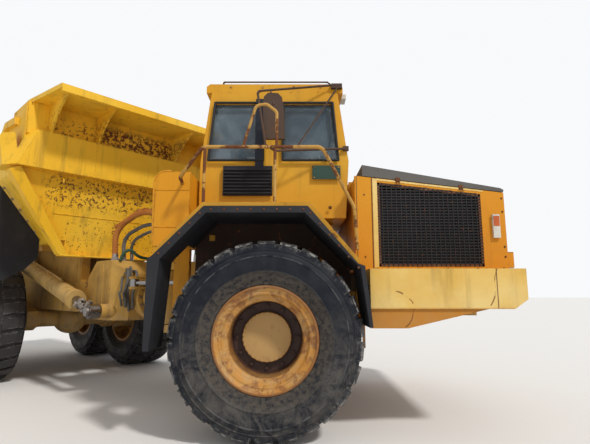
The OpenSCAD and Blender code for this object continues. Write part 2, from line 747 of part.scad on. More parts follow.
module dash() color(dark_grey) at_tractor() {
    floor_in = cab_floor_z + cab_wall + seat_gap;
    side_plate([[560, floor_in], [750, floor_in], [760, belt_z - 20], [620, belt_z - 20],
        [540, belt_z - 120]], -420, 420);
    bar([600, 0, belt_z - 70], [436, 0, belt_z + 104], 25);
    translate([430, 0, belt_z + 110]) rotate([0, -43, 0]) {
        rotate_extrude() translate([210, 0]) circle(r = 16);
        box([-210, -15, -10], [210, 15, 10]);
        translate([0, 0, -30]) cylinder(r = 40, h = 50);
    }
}

// Mirrors on their arms, and a rail over the right edge of the roof.
module mirrors() color(black_paint) at_tractor() {
    r = 12;
    // Left arm, out beside the cab
    arm_z = roof_z - 60;
    arm_x = cab_face(arm_z) + r + 2;
    out_y = cab_half + 270;
    bracket_y = cab_half - 100;
    head_top = belt_z + 320;
    tube_run([[arm_x, bracket_y, arm_z], [arm_x, out_y, arm_z], [arm_x, out_y, head_top]], r, 50);
    box([cab_face(arm_z - 30) + seat_gap, bracket_y - 10, arm_z - 30], [arm_x, bracket_y + 30, arm_z + 30]);
    box([arm_x - 18, out_y - 90, belt_z - 60], [arm_x + 18, out_y + 110, head_top]);
    // Right arm, a tube frame with a brace, folded back along the cab with its mirror
    fold_y = -cab_half - 310;
    near_y = -cab_half - 20;
    fold_top = roof_z + 80;
    fold_low = belt_z + 145;
    tube_run([[700, near_y, fold_top], [-130, fold_y, head_z + 5], [-40, fold_y, belt_z + 85],
        [60, fold_y, belt_z + 25], [830, near_y, fold_low]], r, 40);
    bar([757, near_y, fold_top], [264, near_y - 223, belt_z + 58], 9);
    box([670, near_y - 15, fold_top - 40], [790, -cab_half + 10 - seat_gap, fold_top + 14]);
    box([790, near_y - 15, fold_low - 25], [850, -cab_half - seat_gap, fold_low + 25]);
    side_plate([[-55, 2876], [161, 2876], [150, 3181], [128, 3330], [85, 3378], [-20, 3382],
        [-62, 3340], [-75, 3250]], fold_y + 18, fold_y + 60);
    bar([6, fold_y + 45, 3422], [40, fold_y + 16, 3250], 8);
    // Roof rail
    rail_v = -cab_half + 180;
    roof_top = roof_z + roof_h + seat_gap;
    rail_top = canopy_z - 45;
    tube_run([[roof_x0 + 160, rail_v, roof_top], [roof_x0 + 160, rail_v, rail_top],
        [roof_x1 - 160, rail_v, rail_top], [roof_x1 - 80, rail_v, rail_top - 60],
        [roof_x1 - 80, rail_v, roof_top]], 9, 20);
}

// Tanks behind the cab, one upright box with a rounded edge on each side, and their brackets.
module tanks() color(yellow) at_tractor() {
    round_r = 90;
    both_sides() {
        box([tank_x0 + round_r, tank_in, tank_low], [tank_x1, tank_out, tank_top]);
        box([tank_x0, tank_in, tank_low], [tank_x1, tank_out, tank_top - round_r]);
        cross_bar(tank_x0 + round_r, tank_top - round_r, tank_in, tank_out, round_r);
        box([tank_x0 + 130, rail_out + seat_gap, tractor_low_z + 60],
            [tank_x1 - 60, tank_in + 100, tractor_low_z + 240]);
        box([tank_x0 + 130, tank_in, tractor_low_z + 239], [tank_x1 - 60, tank_in + 100, tank_low + 1]);
    }
}

// Hitch block: upright pins that turn in the fork, and a trunnion that the rear frame rolls on.
trunnion_r = 200;
trunnion_back = 620;

module hitch_block() color(orange_paint) at_rear() {
    gap = move_gap;
    collar_r = 235;
    collar_back = 230;
    translate([0, 0, fork_low_z + gap])
        cylinder(r = fork_eye_r - 10, h = fork_top_z - fork_low_z - 2 * gap);
    translate([0, 0, fork_low_z - fork_t])
        cylinder(r = steer_pin_r - run_gap, h = fork_top_z - fork_low_z + 2 * fork_t);
    translate([0, 0, hitch_z]) rotate([0, -90, 0]) cylinder(r = collar_r, h = collar_back);
    translate([0, 0, hitch_z]) rotate([0, -90, 0]) cylinder(r = trunnion_r - run_gap, h = trunnion_back);
    // Arms for the rods of the steering cylinders
    both_sides() eye_ears(steer_pin_x, steer_pin_y, 0);
}

// Steering cylinders, from an eye on the tractor frame to an arm of the hitch block.
function rear_point(u, v) = [-hitch_back + u * cos(park_angle) + v * sin(park_angle),
    -u * sin(park_angle) + v * cos(park_angle)];

module at_steer(side) {
    foot = [steer_eye_x, side * steer_eye_y];
    tip = rear_point(steer_pin_x, side * steer_pin_y);
    d = tip - foot;
    translate([foot[0], foot[1], steer_z]) rotate([0, 0, atan2(d[1], d[0])]) children();
}

function steer_len(side) = norm(rear_point(steer_pin_x, side * steer_pin_y)
    - [steer_eye_x, side * steer_eye_y]);

module steer_barrel() {
    difference() {
        union() {
            translate([0, 0, seat_gap - steer_ear_gap]) cylinder(r = 56, h = 2 * (steer_ear_gap - seat_gap));
            rotate([0, 90, 0]) cylinder(r = 40, h = 120);
            translate([100, 0, 0]) rotate([0, 90, 0]) cylinder(r = 55, h = barrel_len - 100);
            translate([barrel_len - 60, 0, 0]) rotate([0, 90, 0]) cylinder(r = 64, h = 60);
        }
        translate([0, 0, -60]) cylinder(r = steer_bore_r, h = 120);
        translate([130, 0, 0]) rotate([0, 90, 0]) cylinder(r = 30, h = barrel_len);
    }
}

module steer_rod(side) {
    length = steer_len(side);
    difference() {
        union() {
            translate([length - 660, 0, 0]) rotate([0, 90, 0]) cylinder(r = 30 - run_gap, h = 620);
            translate([length, 0, seat_gap - steer_ear_gap])
                cylinder(r = 52, h = 2 * (steer_ear_gap - seat_gap));
        }
        translate([length, 0, -60]) cylinder(r = 26, h = 120);
    }
}

module steer_barrel_right() { color(yellow) at_tractor() at_steer(-1) steer_barrel(); }
module steer_rod_right() { color(steel) at_tractor() at_steer(-1) steer_rod(-1); }
module steer_barrel_left() { color(yellow) at_tractor() at_steer(1) steer_barrel(); }
module steer_rod_left() { color(steel) at_tractor() at_steer(1) steer_rod(1); }

// Rear frame: rails, a deep front box with the roll bearing, cross members and a tow eye.
rear_front = -1050;
hinge_u = 1020 - body_len;
hinge_z = 1500;
frame_end = hinge_u - 400;
hoist_foot = [-620, 1075];
hoist_v = 680;
hoist_top = [hinge_u + 1850, 1870];
hoist_r = 115;
hoist_pin_r = 40;
hoist_eye_half = 60;
hoist_eye_r = 85;
tow_u = frame_end - 180;
tow_z = 1250;
tow_half = 80;
tow_plate_t = 35;
tow_plate_z = [tow_z - 50 - tow_plate_t, tow_z + 50];
hinge_v0 = rail_out + 50;
hinge_v1 = hinge_v0 + 95;
nose_u = -420;
nose_low = 960;
nose_top = 1720;
nose_half = 320;
housing_r = 290;
housing_front = -250;
housing_len = 200;
member_u = [-2300, -4110, hinge_u - 150, frame_end];
member_w = 150;

module rear_frame() color(yellow) at_rear() {
    top = rail_low_z + rail_h;
    difference() {
        union() {
            both_sides() {
                box([frame_end, rail_in, rail_low_z], [rear_front + 50, rail_out, top]);
                cross_bar(hinge_u, hinge_z, rail_half - 60, hinge_v1 + 20, tip_pin_r - run_gap);
                box([hinge_u - 90, rail_in, top - 10], [hinge_u + 90, rail_out, hinge_z + 90]);
            }
            // Front box
            intersection() {
                side_plate([[rear_front, nose_low], [nose_u, nose_low], [nose_u, nose_top - 180],
                    [nose_u - 220, nose_top], [rear_front, nose_top], [rear_front - 300, top],
                    [rear_front - 300, rail_low_z]], -rail_out, rail_out);
                flat_plate([[rear_front - 301, -rail_out], [nose_u - 180, -rail_out],
                    [nose_u, -nose_half], [nose_u, nose_half], [nose_u - 180, rail_out],
                    [rear_front - 301, rail_out]], nose_low - 1, nose_top + 1);
            }
            translate([housing_front, 0, hitch_z]) rotate([0, -90, 0])
                cylinder(r = housing_r, h = housing_len);
            for (u = member_u)
                box([u, -rail_half, rail_low_z + 60], [u + member_w, rail_half, top - 60]);
            // Bracket of the tow eye
            for (z = tow_plate_z) {
                flat_plate([[frame_end + 20, -150], [tow_u, -tow_half], [tow_u, tow_half],
                    [frame_end + 20, 150]], z, z + tow_plate_t);
                translate([tow_u, 0, z]) cylinder(r = tow_half, h = tow_plate_t);
            }
            // Feet of the hoist cylinders
            both_sides() {
                cross_bar(hoist_foot[0], hoist_foot[1], rail_half, hoist_v + 90, hoist_pin_r - run_gap);
                cross_bar(hoist_foot[0], hoist_foot[1], rail_half, hoist_v - 75, 90);
            }
        }
        translate([housing_front + 50, 0, hitch_z]) rotate([0, -90, 0])
            cylinder(r = trunnion_r, h = trunnion_back + housing_front + 50 + 30);
        translate([tow_u, 0, tow_z - 200]) cylinder(r = tow_r, h = 400);
    }
}

// Tail lamps on brackets at the ends of the rails.
module tail_lamps() color([0.7, 0.12, 0.08]) at_rear() {
    both_sides() {
        box([frame_end - 40, rail_in, rail_low_z + 120],
            [frame_end - seat_gap, rail_out + 180, rail_low_z + 300]);
        for (v = [rail_in + 60, rail_out + 60])
            translate([frame_end - 39, v, rail_low_z + 210]) rotate([0, -90, 0]) cylinder(r = 55, h = 31);
    }
}

// Bogie: two axles with their shafts, and the beams that rock on the frame.
bogie_axle_r = 140;

module bogie_axles() color(yellow) at_rear() {
    drum_r = 205;
    shaft_r = 55;
    shaft_z = axle_z + 40;
    shaft_u = rear_front - 308;
    for (u = [-bogie_back, -frame_len]) {
        cross_bar(u, axle_z, -axle_half, axle_half, bogie_axle_r);
        both_sides() cross_bar(u, axle_z, tyre_out - tyre_w - 80, axle_half, drum_r);
        translate([u, 0, axle_z]) sphere(r = diff_r);
    }
    // Shafts between the two axles and from the front box to the first one
    bar([-bogie_back - diff_r, 0, shaft_z], [-frame_len + diff_r, 0, shaft_z], shaft_r);
    bar([-bogie_back + diff_r, 0, shaft_z + 16], [shaft_u, 0, rail_low_z + 60], shaft_r);
}

module bogie_beams() color(yellow) at_rear() {
    mid = -bogie_back - bogie_pitch / 2;
    v0 = rail_out + 65;
    v1 = v0 + 160;
    end_r = bogie_axle_r + 50;
    pivot_z = axle_z + end_r + 90;
    pivot_r = 110;
    both_sides() {
        difference() {
            side_plate([[-frame_len - end_r, axle_z - 120], [-frame_len, axle_z - end_r],
                [mid, axle_z - 60], [-bogie_back, axle_z - end_r], [-bogie_back + end_r, axle_z - 120],
                [-bogie_back + end_r, axle_z + 120], [mid + 200, pivot_z + 50],
                [mid - 200, pivot_z + 50], [-frame_len - end_r, axle_z + 120]], v0, v1);
            for (u = [-bogie_back, -frame_len])
                cross_bar(u, axle_z, v0 - 1, v1 + 1, bogie_axle_r + seat_gap);
        }
        cross_bar(mid, pivot_z, rail_out + seat_gap, v0 + 1, pivot_r);
    }
}

// Body: a hollow tub with sloping lower sides, open at the tail, with stiffeners outside.
wall_front = -1150;
foot_front = -1350;
tail_u = -body_len;
knee_z = 2850;
chute_u = 1470 - body_len;
chute_z = floor_z + 480;
rib_t = 50;
wall_half = body_half - rib_t;
apron_z = 1810;
wall_slope = (wall_front - foot_front) / (knee_z - floor_z);
slant_u = -2700;
slant_top = [-1950, 3640];
function wall_u(z) = foot_front + wall_slope * (z - floor_z);

function tub_section(inset) = [
    [-floor_half + inset, floor_z + inset], [floor_half - inset, floor_z + inset],
    [wall_half - inset, knee_z], [wall_half - inset, canopy_z + 100],
    [-wall_half + inset, canopy_z + 100], [-wall_half + inset, knee_z]];

module tub_shell() {
    difference() {
        intersection() {
            cross_plate(tub_section(0), tail_u, wall_front);
            side_plate([[foot_front, floor_z], [wall_front, knee_z], [wall_front, 3700], slant_top,
                [slant_u, side_z], [tail_u, side_z - 80], [tail_u, chute_z], [chute_u, floor_z]],
                -body_half, body_half);
        }
        intersection() {
            cross_plate(tub_section(plate_t), tail_u - 10, wall_front - plate_t);
            side_plate([[foot_front - plate_t, floor_z + plate_t], [wall_front - plate_t, knee_z],
                [wall_front - plate_t, canopy_z + 50], [tail_u - 10, canopy_z + 50],
                [tail_u - 10, chute_z + plate_t + 2], [chute_u, floor_z + plate_t]],
                -body_half, body_half);
        }
    }
}

// Flange round the foot of the front wall: along both sloping sides and under the floor.
module front_flange() {
    flange_in = 780;
    flange_w = 120;
    depth = 80;
    intersection() {
        cross_plate([[wall_half + 20, knee_z], [wall_half + 20 + flange_w, knee_z - 60],
            [flange_in + flange_w, apron_z], [flange_in, apron_z]], -1600, -900);
        side_plate([[wall_u(apron_z) - 60, apron_z], [wall_u(apron_z) + depth, apron_z],
            [wall_u(knee_z) + depth, knee_z], [wall_u(knee_z) - 60, knee_z]], 0, 2000);
    }
    side_plate([[wall_u(apron_z) - 60, apron_z], [wall_u(apron_z), apron_z], [foot_front, floor_z],
        [foot_front - 60, floor_z + 1]], -1, flange_in + 40);
    box([wall_u(apron_z) - 70, -1, apron_z - 20],
        [wall_u(apron_z) + depth, flange_in + flange_w - 20, apron_z + 1]);
}

module body_tub() color(yellow) at_rear() {
    rail_down = 85;
    rib_w = 100;
    rib_count = 4;
    rib_front = -2350;
    rib_pitch = 900;
    tail_in = floor_half + 270;
    tub_shell();
    both_sides() {
        front_flange();
        // Top rail down the slant and along the side
        side_plate([[wall_front - 300, 3580], slant_top + [0, -15], [slant_u, side_z],
            [tail_u, side_z - 80], [tail_u, side_z - 80 - rail_down],
            [slant_u + 35, side_z - rail_down], [slant_top[0] + 40, slant_top[1] - 110],
            [wall_front - 300, 3480]], wall_half - 1, body_half);
        // Ribs down the sloping sides
        for (i = [0:rib_count - 1]) {
            u = rib_front - i * rib_pitch;
            cross_plate([[floor_half - 2, floor_z + 1], [wall_half - 1, knee_z + 60],
                [body_half, knee_z + 60], [body_half, knee_z - 20],
                [floor_half + rib_t, floor_z + 1]], u - rib_w / 2, u + rib_w / 2);
        }
        // Stiffener round the tail
        cross_plate([[tail_in, chute_z - 60], [wall_half - 1, knee_z + 20], [body_half, knee_z + 20],
            [body_half, knee_z - 20], [tail_in + 65, chute_z - 60]], tail_u, tail_u + rib_w + 10);
    }
}

// Under the body: sills on the frame rails, cross members, and the ears for hoists and pins.
module body_sills() color(yellow) at_rear() {
    under = floor_z - seat_gap;
    cheek_t = 30;
    cheek_at = hoist_eye_half + 7 + cheek_t / 2;
    both_sides() {
        box([hinge_u + 300, rail_half - 60, rail_low_z + rail_h + seat_gap],
            [-1600, rail_half + 60, under]);
        // Cheeks beside the eyes of the hoist cylinders
        for (v = [hoist_v - cheek_at, hoist_v + cheek_at])
            side_plate([[hoist_top[0] - 80, hoist_top[1] - 60], [hoist_top[0] + 80, hoist_top[1] - 60],
                [hoist_top[0] + 120, under], [hoist_top[0] - 120, under]],
                v - cheek_t / 2, v + cheek_t / 2);
        // Ears on the tipping pins
        difference() {
            side_plate([[hinge_u - 100, hinge_z - 100], [hinge_u + 100, hinge_z - 100],
                [hinge_u + 420, under], [hinge_u - 100, under]], hinge_v0, hinge_v1);
            cross_bar(hinge_u, hinge_z, hinge_v0 - 1, hinge_v1 + 1, tip_pin_r);
        }
    }
    // Cross members
    for (u = [hoist_top[0] + 1600, hoist_top[0] - 800, chute_u])
        box([u - 60, -floor_half + 60, floor_z - 80], [u + 60, floor_half - 60, under]);
    // The one behind the hoists' eyes ends at the sills, clear of the barrels as the body tips
    box([hoist_top[0] - 260, -rail_half, floor_z - 80], [hoist_top[0] - 140, rail_half, under]);
}

// Rubber flaps that hang from the sloping sides in front of the first bogie wheels.
module body_flaps() color(rubber) at_rear() {
    flap_u = -2050;
    flap_low = 1470;
    flap_t = 25;
    flap_out = body_half + 90;
    both_sides()
        cross_plate([[floor_half + 50, floor_z + 60], [body_half - 20, knee_z - 60],
            [flap_out, knee_z - 200], [flap_out, flap_low], [flap_out - 280, flap_low],
            [flap_out - 510, flap_low + 140], [floor_half + 50, flap_low + 330]],
            flap_u, flap_u + flap_t);
}

// Spill guard: a canopy over the cab side, its gussets and the box beam across the front wall.
beam_half = body_half - 180;
beam_t = 130;
beam_top = 3340;
beam_turn = 58;
beam_rake = 20;

module spill_guard() color(yellow) at_rear() {
    canopy_t = 60;
    canopy_half = body_half - 90;
    canopy_rear = slant_top[0] + 50;
    corner_u = wall_front - 100;
    skirt_low = slant_top[1] + 65;
    gusset_v = 600;
    gusset_t = 24;
    g = seat_gap;
    under = canopy_z - canopy_t + 1;
    flat_plate([[-lip_back, -lip_half], [-lip_back, lip_half], [corner_u, canopy_half],
        [canopy_rear, canopy_half], [canopy_rear, -canopy_half], [corner_u, -canopy_half]],
        canopy_z - canopy_t, canopy_z);
    box([-lip_back - 60, -lip_half + 10, canopy_z - 95], [-lip_back, lip_half - 10, canopy_z - 10]);
    // Skirts under the canopy's edges, standing on the body's sides
    both_sides()
        box([canopy_rear, canopy_half - 20, skirt_low], [wall_front + 60, canopy_half, under]);
    // Upper front wall between the beam and the canopy
    box([wall_front + g, -body_half + 60, beam_top - 40], [wall_front + g + 30, body_half - 60, under]);
    // Beam, wrapped round the corners of the front wall, with its ends cut by sloping planes
    difference() {
        box([wall_front - 350, -body_half - 140, knee_z + g],
            [wall_front + beam_t, body_half + 140, beam_top]);
        box([wall_front - 351, -body_half - 10, knee_z - 1], [wall_front + g, body_half + 10, beam_top + 1]);
        both_sides() translate([wall_front + beam_t, beam_half, beam_top])
            rotate([0, -beam_rake, beam_turn])
                box([0, -body_half, -body_half], [body_half, body_half, body_half]);
    }
    for (v = gusset_v * [-2, -1, 1, 2])
        side_plate([[wall_front + 10, beam_top - 10], [wall_front + beam_t, beam_top - 10],
            [wall_front + 200, beam_top + 80], [wall_front + 420, beam_top + 260], [-lip_back - 60, under],
            [wall_front + 10, under]], v - gusset_t / 2, v + gusset_t / 2);
}

// Hoist cylinders: the rods turn on the frame's pins, the barrels reach up to the body.
hoist_span = norm(hoist_top - hoist_foot);
hoist_tilt = atan2(hoist_top[1] - hoist_foot[1], hoist_foot[0] - hoist_top[0]);
hoist_rod_r = 60;
barrel_from = 560;
hoist_neck = 230;
hoist_cap = 150;

// Draws along the line from a foot to a top, from both sides.
module at_hoists() {
    both_sides() translate([hoist_foot[0], hoist_v, hoist_foot[1]])
        rotate([0, -hoist_tilt, 180]) children();
}

// A round bar along the cylinder, and a round across it, measured from the foot.
module hoist_round(from, to, r) {
    translate([from, 0, 0]) rotate([0, 90, 0]) cylinder(r = r, h = to - from);
}

module hoist_eye(at, r, half) {
    translate([at, half, 0]) rotate([90, 0, 0]) cylinder(r = r, h = 2 * half);
}

module hoist_barrels() color(yellow) at_rear() at_hoists() {
    difference() {
        union() {
            hoist_eye(hoist_span, hoist_eye_r, hoist_eye_half);
            hoist_round(hoist_span - hoist_neck - 20, hoist_span, 55);
            hoist_round(barrel_from, hoist_span - hoist_neck, hoist_r);
            hoist_round(barrel_from, barrel_from + 90, hoist_r + 12);
        }
        hoist_eye(hoist_span, hoist_pin_r, hoist_eye_half + 1);
        hoist_round(barrel_from - 1, hoist_span - hoist_neck - hoist_cap, hoist_rod_r);
    }
}

module hoist_rods() color(steel) at_rear() at_hoists() {
    rod_end = 2660;
    difference() {
        union() {
            hoist_eye(0, hoist_eye_r + 3, hoist_eye_half);
            hoist_round(hoist_eye_half, rod_end, hoist_rod_r - run_gap);
        }
        hoist_eye(0, hoist_pin_r, hoist_eye_half + 1);
    }
}

front_frame();
front_axle();
engine_block();
hood_panels();
grilles();
bumper();
lamps();
fenders();
mudguards();
handrails();
cab_steps();
cab_shell();
cab_roof();
cab_glass();
seat();
dash();
mirrors();
tanks();
hood_lid();
cab_door();
door_glass();
front_tyre_right();
front_rim_right();
front_tyre_left();
front_rim_left();
hitch_block();
steer_barrel_right();
steer_rod_right();
steer_barrel_left();
steer_rod_left();
rear_frame();
tail_lamps();
bogie_axles();
bogie_beams();
mid_tyre_right();
mid_rim_right();
mid_tyre_left();
mid_rim_left();
rear_tyre_right();
rear_rim_right();
rear_tyre_left();
rear_rim_left();
body_tub();
body_sills();
body_flaps();
spill_guard();
hoist_barrels();
hoist_rods();
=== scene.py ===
# %% [markdown]
# # An articulated dump truck, dressed for its portrait
# The machine arrives from its construction model as plain solids: a tractor with one axle and
# a cab, a hitch it steers on, and a rear unit with four wheels and a tipping body. This lesson
# adds what a solid can't carry: worn paint, rust, rubber, bolts, hoses, seams and a studio.
# Every new piece but the hoses rides on one of the machine's bodies, so it follows when the joints
# move.

import json
import math
import random

import bmesh
import bpy
from mathutils import Matrix, Vector


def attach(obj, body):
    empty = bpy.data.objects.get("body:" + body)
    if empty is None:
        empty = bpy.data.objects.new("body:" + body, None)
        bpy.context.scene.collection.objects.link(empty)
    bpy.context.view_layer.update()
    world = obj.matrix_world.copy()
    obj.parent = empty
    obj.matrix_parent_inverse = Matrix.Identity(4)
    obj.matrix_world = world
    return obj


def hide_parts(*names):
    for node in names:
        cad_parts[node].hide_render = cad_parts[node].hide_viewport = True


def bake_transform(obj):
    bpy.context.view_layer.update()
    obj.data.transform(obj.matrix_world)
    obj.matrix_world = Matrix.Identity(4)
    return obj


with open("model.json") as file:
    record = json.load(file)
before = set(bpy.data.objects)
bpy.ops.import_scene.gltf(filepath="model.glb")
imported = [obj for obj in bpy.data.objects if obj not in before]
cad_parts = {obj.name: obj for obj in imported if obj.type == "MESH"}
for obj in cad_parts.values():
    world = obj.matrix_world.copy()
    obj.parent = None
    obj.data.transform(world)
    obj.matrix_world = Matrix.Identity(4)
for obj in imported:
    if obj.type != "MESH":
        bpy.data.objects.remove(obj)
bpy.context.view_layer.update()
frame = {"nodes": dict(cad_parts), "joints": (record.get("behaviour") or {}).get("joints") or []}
cad = frame["nodes"]
joints = {joint["name"]: joint for joint in frame["joints"]}
scene = bpy.context.scene

# %% [markdown]
# ## Two units, two frames
# The tractor and the rear unit stand at an angle, and each is easier to dress in its own
# directions: forward, left and up. Both frames are read from the joints. The tractor's starts
# on the ground under its front axle, and the rear unit's on the ground under the steering pin.

# %% Frames of the two units
def between(name_a, name_b):
    """The point half way between two joints."""
    return (Vector(joints[name_a]["pos_m"]) + Vector(joints[name_b]["pos_m"])) / 2


front_axle = between("front_wheel_left_spin", "front_wheel_right_spin")
tractor = Matrix.Translation((front_axle.x, front_axle.y, 0))

steer_pin = Vector(joints["steering"]["pos_m"])
rear_ahead = Vector(joints["frame_roll"]["axis"]).normalized()
rear_left = Vector((0, 0, 1)).cross(rear_ahead)
rear_unit = Matrix((rear_ahead, rear_left, (0, 0, 1))).transposed().to_4x4()
rear_unit.translation = (steer_pin.x, steer_pin.y, 0)
park_angle = math.atan2(-rear_ahead.y, rear_ahead.x)
print("parked at", round(math.degrees(park_angle), 1), "degrees")


def span(node, unit):
    """The lowest and highest corner of a solid in a unit's own frame."""
    back = unit.inverted()
    points = [back @ v.co for v in cad[node].data.vertices]
    low = Vector([min(p[i] for p in points) for i in range(3)])
    high = Vector([max(p[i] for p in points) for i in range(3)])
    return low, high


# %% [markdown]
# ## The camera
# The photograph was taken from about chest height, square to the tractor's right side and
# tilted up a little. Its view was fitted to the front wheel, whose size is known. The picture
# is 590 pixels wide, and a pixel at its middle is 1/443 of the distance.

# %% Camera
PHOTO_WIDTH = 590
FOCAL_PIXELS = 443
SENSOR_WIDTH = 36
FARTHEST = 200
camera_from_axle = Vector((0.264, -5.61, 1.30))
camera_pitch = math.radians(9.1)

camera_data = bpy.data.cameras.new("photo_camera")
camera_data.sensor_width = SENSOR_WIDTH
camera_data.lens = FOCAL_PIXELS / PHOTO_WIDTH * SENSOR_WIDTH
camera_data.clip_end = FARTHEST
camera = bpy.data.objects.new("photo_camera", camera_data)
camera.matrix_world = (tractor @ Matrix.Translation(camera_from_axle)
                       @ Matrix.Rotation(math.pi / 2 + camera_pitch, 4, "X"))
scene.collection.objects.link(camera)
scene.camera = camera
scene.view_settings.view_transform = "Standard"
print("lens", round(camera_data.lens, 1), "mm at", round(camera_from_axle.z, 2), "m height")

# %% [markdown]
# ## Floor, sky and lamps
# A plain pale floor with a soft shadow keeps the eye on the machine. The world is white for
# the camera and for reflections, and a milder grey as a light, so that the paint keeps its
# own colour. One large lamp stands for the sun that falls from behind the cab to the right.

# %% Floor
FLOOR_SIZE = 120
FLOOR_COLOUR = (0.78, 0.77, 0.75, 1)
FLOOR_ROUGH = 0.9


def studio_floor():
    """One large square, staged so that it belongs to no body."""
    bm = bmesh.new()
    bmesh.ops.create_grid(bm, x_segments=1, y_segments=1, size=FLOOR_SIZE)
    mesh = bpy.data.meshes.new("floor")
    bm.to_mesh(mesh)
    bm.free()
    floor = bpy.data.objects.new("floor", mesh)
    scene.collection.objects.link(floor)
    material = bpy.data.materials.new("floor")
    material.use_nodes = True
    surface = material.node_tree.nodes["Principled BSDF"]
    surface.inputs["Base Color"].default_value = FLOOR_COLOUR
    surface.inputs["Roughness"].default_value = FLOOR_ROUGH
    mesh.materials.append(material)


studio_floor()
print("floor", 2 * FLOOR_SIZE, "m wide")

# %% Sky and sun
SKY_COLOUR = (0.94, 0.95, 0.97, 1)
SKY_LIGHT = 0.62
SUN_STRENGTH = 2.1
SUN_ANGLE = math.radians(6)
SUN_COLOUR = (1.0, 0.97, 0.92)
SUN_TOWARD = Vector((-0.45, 0.50, -0.74))


def studio_world():
    """A mild sky as a light, and a bright one where a ray looks at it."""
    world = bpy.data.worlds.new("studio")
    scene.world = world
    world.use_nodes = True
    tree = world.node_tree
    light = tree.nodes["Background"]
    light.inputs["Color"].default_value = SKY_COLOUR
    light.inputs["Strength"].default_value = SKY_LIGHT
    seen = tree.nodes.new("ShaderNodeBackground")
    seen.inputs["Color"].default_value = SKY_COLOUR
    path = tree.nodes.new("ShaderNodeLightPath")
    either = tree.nodes.new("ShaderNodeMath")
    either.operation = "MAXIMUM"
    mirror = tree.nodes.new("ShaderNodeMath")
    mirror.operation = "MAXIMUM"
    mix = tree.nodes.new("ShaderNodeMixShader")
    tree.links.new(path.outputs["Is Glossy Ray"], mirror.inputs[0])
    tree.links.new(path.outputs["Is Transmission Ray"], mirror.inputs[1])
    tree.links.new(path.outputs["Is Camera Ray"], either.inputs[0])
    tree.links.new(mirror.outputs[0], either.inputs[1])
    tree.links.new(either.outputs[0], mix.inputs["Fac"])
    tree.links.new(light.outputs[0], mix.inputs[1])
    tree.links.new(seen.outputs[0], mix.inputs[2])
    tree.links.new(mix.outputs[0], tree.nodes["World Output"].inputs["Surface"])


def studio_sun():
    lamp = bpy.data.lights.new("sun", "SUN")
    lamp.energy = SUN_STRENGTH
    lamp.angle = SUN_ANGLE
    lamp.color = SUN_COLOUR
    sun = bpy.data.objects.new("sun", lamp)
    sun.matrix_world = SUN_TOWARD.to_track_quat("-Z", "Y").to_matrix().to_4x4()
    scene.collection.objects.link(sun)


studio_world()
studio_sun()
print("sky", SKY_LIGHT, "sun", SUN_STRENGTH)

# %% [markdown]
# ## A small kit for materials
# Each finish is a graph of nodes. These few helpers keep the graphs short: `add` makes a node
# and fills its sockets, by name, or by number where two sockets share a name. `noise` gives
# cloudy patterns in metres, `step` turns a pattern into a mask with a soft edge, and
# `blend_colour` lays one colour over another by a mask.

# %% Helpers for node graphs
def add(material, kind, settings=None, **inputs):
    """Makes a node. From_Min fills the socket From Min, and _6 the socket with that number."""
    tree = material.node_tree
    made = tree.nodes.new("ShaderNode" + kind)
    for key, value in (settings or {}).items():
        setattr(made, key, value)
    for key, value in inputs.items():
        socket = made.inputs[int(key[1:])] if key[0] == "_" else made.inputs[key.replace("_", " ")]
        if isinstance(value, bpy.types.NodeSocket):
            tree.links.new(value, socket)
        else:
            socket.default_value = value
    return made


def place(material, stretch=(1, 1, 1)):
    """Where a point is on the machine, in metres, squeezed or stretched by direction."""
    where = add(material, "TexCoord").outputs["Object"]
    return add(material, "Mapping", Vector=where, Scale=stretch).outputs["Vector"]


def noise(material, scale, detail=4, rough=0.55, stretch=(1, 1, 1), where=None, warp=0):
    """A cloudy pattern with about so many clouds to the metre."""
    vector = where or place(material, stretch)
    return add(material, "TexNoise", Vector=vector, Scale=scale, Detail=detail,
               Roughness=rough, Distortion=warp).outputs["Fac"]


def height_of(material, where=None):
    """How high a point is, in metres."""
    return add(material, "SeparateXYZ", Vector=where or place(material)).outputs["Z"]


def step(material, value, start, end, high=1.0):
    """0 below start and high above end, with a smooth slope between."""
    return add(material, "MapRange", {"interpolation_type": "SMOOTHSTEP"}, Value=value,
               From_Min=start, From_Max=end, To_Max=high).outputs["Result"]


def times(material, a, b):
    return add(material, "Math", {"operation": "MULTIPLY"}, _0=a, _1=b).outputs[0]


def most(material, a, b):
    return add(material, "Math", {"operation": "MAXIMUM"}, _0=a, _1=b).outputs[0]


def band(material, value, low, high, soft, strength=1.0):
    """Strength between low and high, and 0 outside them, with soft edges."""
    rise = step(material, value, low - soft, low + soft)
    fall = step(material, value, high - soft, high + soft)
    gone = add(material, "Math", {"operation": "SUBTRACT"}, _0=1.0, _1=fall).outputs[0]
    return times(material, times(material, rise, gone), strength)


def blend_colour(material, mask, below, above):
    """The colour above where the mask is 1, and the colour below where it is 0."""
    return add(material, "Mix", {"data_type": "RGBA"}, _0=mask, _6=below, _7=above).outputs[2]


def blend_value(material, mask, below, above):
    return add(material, "Mix", _0=mask, _2=below, _3=above).outputs[0]


def new_material(name):
    material = bpy.data.materials.new(name)
    material.use_nodes = True
    return material, material.node_tree.nodes["Principled BSDF"]


def connect(material, output, socket):
    material.node_tree.links.new(output, socket)


def bump(material, surface, height, strength, distance):
    made = add(material, "Bump", Height=height, Strength=strength, Distance=distance)
    connect(material, made.outputs["Normal"], surface.inputs["Normal"])
